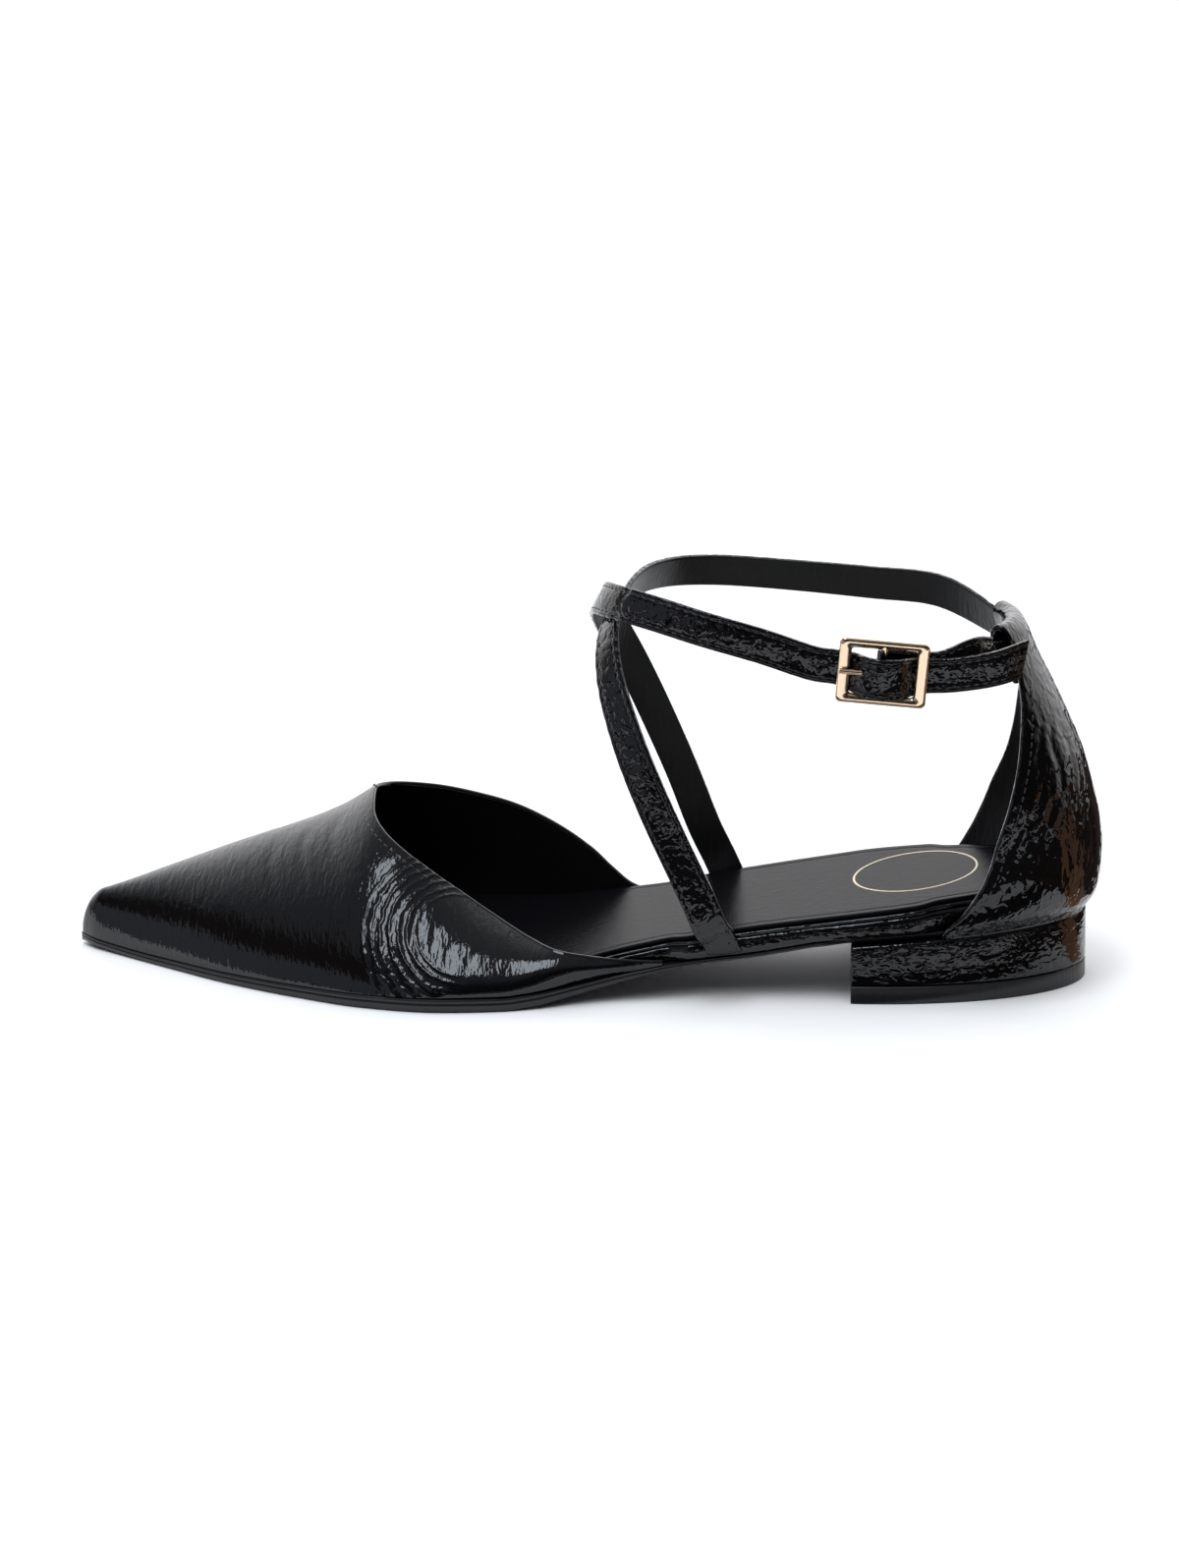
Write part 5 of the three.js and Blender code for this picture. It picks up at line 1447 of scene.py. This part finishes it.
def sock_reach(side, x):
    reach = insole_reach(side, x) - SOCK_INSET
    at_heel = np.minimum(reach, heel_reach(x, SOCK_INSET, SEAT_INSET + SOCK_INSET))
    front = reach * round_end((SOCK_TOE - x) / TOE_RADIUS)
    return np.maximum(SOCK_LEAST, np.where(x < HEEL_DEPTH, at_heel, front))


def make_sock():
    """The sock lining, its edge turned down and a line pressed in near it."""
    x = stations_between(SEAT_INSET + SOCK_INSET + END_SLIVER, SOCK_TOE - END_SLIVER, SOCK_STEPS)
    high = footbed_top(x)
    sides = []
    for side in SIGN:
        reach = sock_reach(side, x)
        lines = [edge_line(side, x, reach, inset, high + rise) for inset, rise in SOCK_RIM]
        for inset in SOCK_LINES:
            pressed = PRESS_DEPTH * math.exp(-(((inset - PRESS_AT) / PRESS_WIDTH) ** 2))
            place = np.where(reach > SOCK_FLAT, reach - inset, reach * np.maximum(1 - inset / SOCK_FLAT, 0))
            lines.append(np.stack([x, axis_side(x) + SIGN[side] * place, high - pressed], -1))
        sides.append(lines)
    low = insole_top(x) + GAP
    reach = sock_reach("outer", x)
    under = [np.stack([x, axis_side(x) + t * reach, low], -1) for t in SOCK_UNDER]
    return loft("sock_face", np.stack(sides[0] + sides[1][::-1] + under, 1), 60)


def closed_ring(name, loops, sharp):
    """A ring from rows of points that each run once round its section."""
    closed = np.concatenate([loops, loops[:1]])
    piece = place_mesh(name, closed, grid_faces(*closed.shape[:2], wrap=True))
    return finish_mesh(piece, SHEET_WELD, sharp)


def make_ring():
    """The plain oval line printed on the sock at the heel."""
    angle = np.linspace(0, 2 * math.pi, RING_STEPS + 1)[:-1]
    half = RING_LINE / 2
    loops = []
    for grow, lift in ((-half, 0.0), (-half, RING_LIFT), (half, RING_LIFT), (half, 0.0)):
        x = RING_AT[0] + (RING_RADIUS + grow) * np.cos(angle)
        y = RING_AT[1] + (RING_RADIUS + grow) * np.sin(angle)
        loops.append(np.stack([x, y, footbed_top(x) + lift], -1))
    return closed_ring("sock_ring", np.stack(loops, 1), 30)


def rounded_loop(length, height, radius):
    """Points of a rounded rectangle, as many on each side as on the next ring of its kind."""
    points = []
    for along, up, start in ((1, -1, -90), (1, 1, 0), (-1, 1, 90), (-1, -1, 180)):
        for k in range(CORNER_STEPS + 1):
            angle = math.radians(start + 90 * k / CORNER_STEPS)
            points.append((
                along * (length / 2 - radius) + radius * math.cos(angle),
                up * (height / 2 - radius) + radius * math.sin(angle),
            ))
    return np.array(points)


def make_buckle():
    """The buckle's frame with softened edges and a slightly hollowed face."""
    outside = rounded_loop(BUCKLE_LENGTH, BUCKLE_HEIGHT, BUCKLE_CORNER)
    length = BUCKLE_LENGTH - 2 * BUCKLE_SIDE_BAR
    height = BUCKLE_HEIGHT - 2 * BUCKLE_LONG_BAR
    inside = rounded_loop(length, height, WINDOW_CORNER)
    thick = BUCKLE_THICK / 2
    profile = [
        (0.0, -thick + 0.5), (0.0, thick - 0.55), (0.04, thick - 0.3), (0.12, thick - 0.1),
        (0.24, thick), (0.5, thick - 0.02), (0.74, thick - 0.16), (0.88, thick - 0.42),
        (0.97, thick - 0.75), (1.0, thick - 1.0), (1.0, -thick + 0.5), (0.92, -thick + 0.12),
        (0.75, -thick), (0.25, -thick), (0.08, -thick + 0.12),
    ]
    rings = []
    for t, z in profile:
        flat = lerp(outside, inside, t)
        rings.append(np.concatenate([flat, np.full((len(flat), 1), z)], 1))
    return closed_ring("buckle_frame_cast", in_buckle(np.stack(rings, 1)), 45)


def make_bar():
    half = (BUCKLE_HEIGHT - BUCKLE_LONG_BAR) / 2
    return tube("buckle_bar", in_buckle([[0, t * half, 0] for t in np.linspace(-1, 1, 12)]), BAR_RADIUS)


def make_prong():
    rise = BAR_RADIUS + GAP + PRONG_RADIUS
    reach = BAR_MIDDLE + BUCKLE_SIDE_BAR * 0.35
    rest = BUCKLE_THICK / 2 + GAP + PRONG_RADIUS
    path = catmull(
        [
            (-rise, 0, 0),
            (-rise * 0.7, 0, rise * 0.7),
            (0, 0, rise),
            (reach * 0.4, 0, rise * 0.75 + rest * 0.25),
            (reach * 0.75, 0, rest),
            (reach, 0, rest),
        ],
        True,
    )
    return tube("buckle_prong_pin", in_buckle(path(np.linspace(0, 1, 60))), PRONG_RADIUS)


dress(make_vamp(), "patent", PATENT_VAMP, LINING, replaces=("vamp",))
dress(topline_stitches("vamp_thread"), "patent", THREAD)

heel_x = stations_between(0, HEEL_DEPTH * 2, HEEL_STEPS)
heel_x = np.append(heel_x[heel_x < HEEL_DEPTH - BREAST_ROOM], HEEL_DEPTH - np.array(BREAST_STATIONS))
heel_x[0] = END_SLIVER / 3
lift = plate("lift_block", heel_x, lift_reach, flat_at(0), flat_at(LIFT_HEIGHT), LIFT_RIM)
dress(lift, "lift_rubber", LIFT_RUBBER, replaces=("heel_lift",))
heel = plate(
    "heel_skin",
    heel_x,
    lambda side, x: edge_reach(side, x, 0) - breast_round(x, BREAST_ROUND),
    flat_at(LIFT_HEIGHT + GAP),
    heel_top,
    HEEL_RIM,
)
dress(heel, "patent", PATENT_HEEL, replaces=("heel_block",))

outsole_x = stations_between(
    SEAT_INSET + GAP + END_SLIVER,
    SHOE_LENGTH + TOE_DRAW_BACK * TOE_LIP - END_SLIVER,
    SOLE_STEPS,
)
outsole = plate("outsole_body", outsole_x, outsole_reach, sole_bottom, sole_top, OUTSOLE_RIM, 50)
dress(outsole, "outsole_rubber", SOLE_RUBBER, replaces=("outsole",))
insole_x = stations_between(SEAT_INSET + END_SLIVER, INSOLE_TOE - END_SLIVER, SOLE_STEPS)
insole = plate("insole_skin", insole_x, insole_reach, lambda x: sole_top(x) + GAP, insole_top, INSOLE_RIM, 55)
dress(insole, "patent", PATENT_BAND, replaces=("insole_board",))
dress(make_sock(), "lining", SOCK_FACE, replaces=("sock_lining",))
dress(make_ring(), "pale_gold", RING_GOLD)

counter, counter_face, counter_out = make_counter()
dress(counter, "patent", PATENT_COUNTER, LINING, replaces=("counter",))
dress(counter_stitches("counter_thread", counter_face, counter_out), "patent", THREAD)

long_frames = strap_frames(long_strap_rows())
loop_frames = strap_frames(loop_strap_rows())
long_strap = sweep_strap("long_strap_skin", long_frames, LONG_STRAP_CREASES, FREE_END_CUT)
dress(long_strap, "patent", PATENT_STRAP, LINING, replaces=("long_strap",))
loop_strap = sweep_strap("loop_strap_skin", loop_frames, LOOP_STRAP_CREASES)
dress(loop_strap, "patent", PATENT_STRAP, LINING, replaces=("loop_strap",))
dress(strap_stitches("long_strap_thread", long_frames, STRAP_UNSEWN, LONG_END_UNSEWN), "patent", THREAD)
dress(strap_stitches("loop_strap_thread", loop_frames, STRAP_UNSEWN, LOOP_END_UNSEWN), "patent", THREAD)
window_front = in_buckle([WINDOW_END, 0, UNDER_BAR])
before_buckle = int(np.argmin(np.linalg.norm(long_frames["at"] - window_front, axis=1)))
punch(long_strap, long_frames, [long_frames["length"][before_buckle] - HOLE_PITCH * k for k in (1, 2)])

dress(make_buckle(), "pale_gold", GOLD, replaces=("buckle_frame",))
dress(make_bar(), "pale_gold", GOLD)
dress(make_prong(), "pale_gold", GOLD, replaces=("buckle_prong",))


# Studio
def make_camera():
    data = bpy.data.cameras.new("camera")
    data.sensor_width = CAMERA_SENSOR
    data.lens = CAMERA_LENS
    data.clip_end = CAMERA_REACH
    camera = add_object("camera", data)
    forward = (CAMERA_AIM - CAMERA_AT).normalized()
    level_right = forward.cross(Vector((0, 0, 1))).normalized()
    roll = math.radians(CAMERA_ROLL)
    right = level_right * math.cos(roll) + level_right.cross(forward) * math.sin(roll)
    rows = Matrix((right, right.cross(forward), -forward)).transposed()
    camera.matrix_world = Matrix.Translation(CAMERA_AT) @ rows.to_4x4()
    bpy.context.scene.camera = camera


def rectangle(low, high, z):
    return [(low[0], low[1], z), (high[0], low[1], z), (high[0], high[1], z), (low[0], high[1], z)]


def make_floor():
    corners = rectangle((-FLOOR_HALF, -FLOOR_HALF), (FLOOR_HALF, FLOOR_HALF), 0)
    floor = add_mesh("floor", corners, [(0, 1, 2, 3)])
    inputs = {"Base Color": (*FLOOR_WHITE, 1), "Roughness": 1.0, "Specular IOR Level": 0.0}
    floor.data.materials.append(principled("floor_white", inputs)[0])


def reflected_card(name, corners, colour):
    """A glowing card on the floor that reflections alone see: a painted reflection."""
    card = add_mesh(name, corners, [(0, 1, 2, 3)])
    card.data.materials.append(principled(name, {
        "Base Color": (0, 0, 0, 1),
        "Specular IOR Level": 0.0,
        "Emission Color": (*colour, 1),
        "Emission Strength": 1.0,
    })[0])
    card.visible_camera = False
    card.visible_diffuse = False
    card.visible_shadow = False
    card.visible_transmission = False


def add_lamp(name, kind, power, colour):
    light = bpy.data.lights.new(name, kind)
    light.energy = power
    light.color = colour
    return add_object(name, light)


def make_softbox():
    """The large lamp above the outer side, which makes the light patch on the vamp."""
    lamp = add_lamp("softbox", "AREA", SOFTBOX_POWER, SOFTBOX_COLOUR)
    lamp.data.shape = "RECTANGLE"
    lamp.data.size, lamp.data.size_y = SOFTBOX_SIZE
    lamp.location = SOFTBOX_AT
    lamp.rotation_mode = "QUATERNION"
    back = (SOFTBOX_AT - SOFTBOX_AIM).normalized()
    right = (Vector((1, 0, 0)) - back * back.x).normalized()
    lamp.rotation_quaternion = Matrix((right, back.cross(right), back)).transposed().to_quaternion()


def make_fill():
    """Even soft daylight from above for the table, kept out of the reflections."""
    lamp = add_lamp("fill", "SUN", FILL_POWER, FILL_COLOUR)
    lamp.data.angle = math.radians(FILL_ANGLE)
    lamp.rotation_euler = (math.radians(FILL_TILT), 0, 0)
    lamp.visible_glossy = False


def ramp(tree, value, stops):
    node = add_node(tree, "ShaderNodeValToRGB", {0: value})
    band = node.color_ramp
    while len(band.elements) < len(stops):
        band.elements.new(0.5)
    for element, (place, colour) in zip(band.elements, stops):
        element.position = place
        element.color = (*colour, 1)
    return node.outputs[0]


def mixed(tree, share, first, second):
    """A colour that goes from the first to the second as a share goes from 0 to 1."""
    return add_node(tree, "ShaderNodeMix", {0: share, 6: first, 7: second}, data_type="RGBA").outputs[2]


def make_studio():
    """The room as the shoe mirrors it: white sweep behind, grey overhead and dark on the camera's side."""
    world = bpy.data.worlds.new("studio")
    world.use_nodes = True
    tree = world.node_tree
    place = add_node(tree, "ShaderNodeTexCoord").outputs["Generated"]
    axes = add_node(tree, "ShaderNodeSeparateXYZ", {0: place}).outputs
    behind = span_of(tree, axes["Y"], *BEHIND_FADE)
    room = mixed(tree, behind, ramp(tree, axes["Z"], NEAR_LIGHT), ramp(tree, axes["Z"], FAR_LIGHT))
    ahead = span_of(tree, axes["X"], *TOE_FADE_AHEAD)
    aside = span_of(tree, axes["Y"], *TOE_FADE_ASIDE)
    at_toe = maths(tree, "MULTIPLY", ahead, aside)
    room = mixed(tree, at_toe, room, ramp(tree, axes["Z"], TOE_LIGHT))
    tree.links.new(room, tree.nodes["Background"].inputs["Color"])
    tree.nodes["Background"].inputs["Strength"].default_value = 1.0
    bpy.context.scene.world = world


bpy.context.scene.view_settings.view_transform = "Standard"
make_camera()
make_floor()
make_studio()
make_fill()
make_softbox()
# painted reflections: the cards' dark glow stands in for the room in the patent
for card_name, low_corner, high_corner, card_colour in CARDS:
    reflected_card(card_name, rectangle(low_corner, high_corner, CARD_LIFT), card_colour)
# painted reflection: the brown wedge paints the brown streak on the counter
reflected_card(
    "brown_reflection_wedge",
    [
        (WEDGE_START, -WEDGE_NARROW, WEDGE_LIFT), (WEDGE_START, WEDGE_NARROW, WEDGE_LIFT),
        (-FAR, FAR * WEDGE_HALF, WEDGE_LIFT), (-FAR, -FAR * WEDGE_HALF, WEDGE_LIFT),
    ],
    WEDGE_REFLECTION_BROWN,
)

bpy.context.view_layer.update()
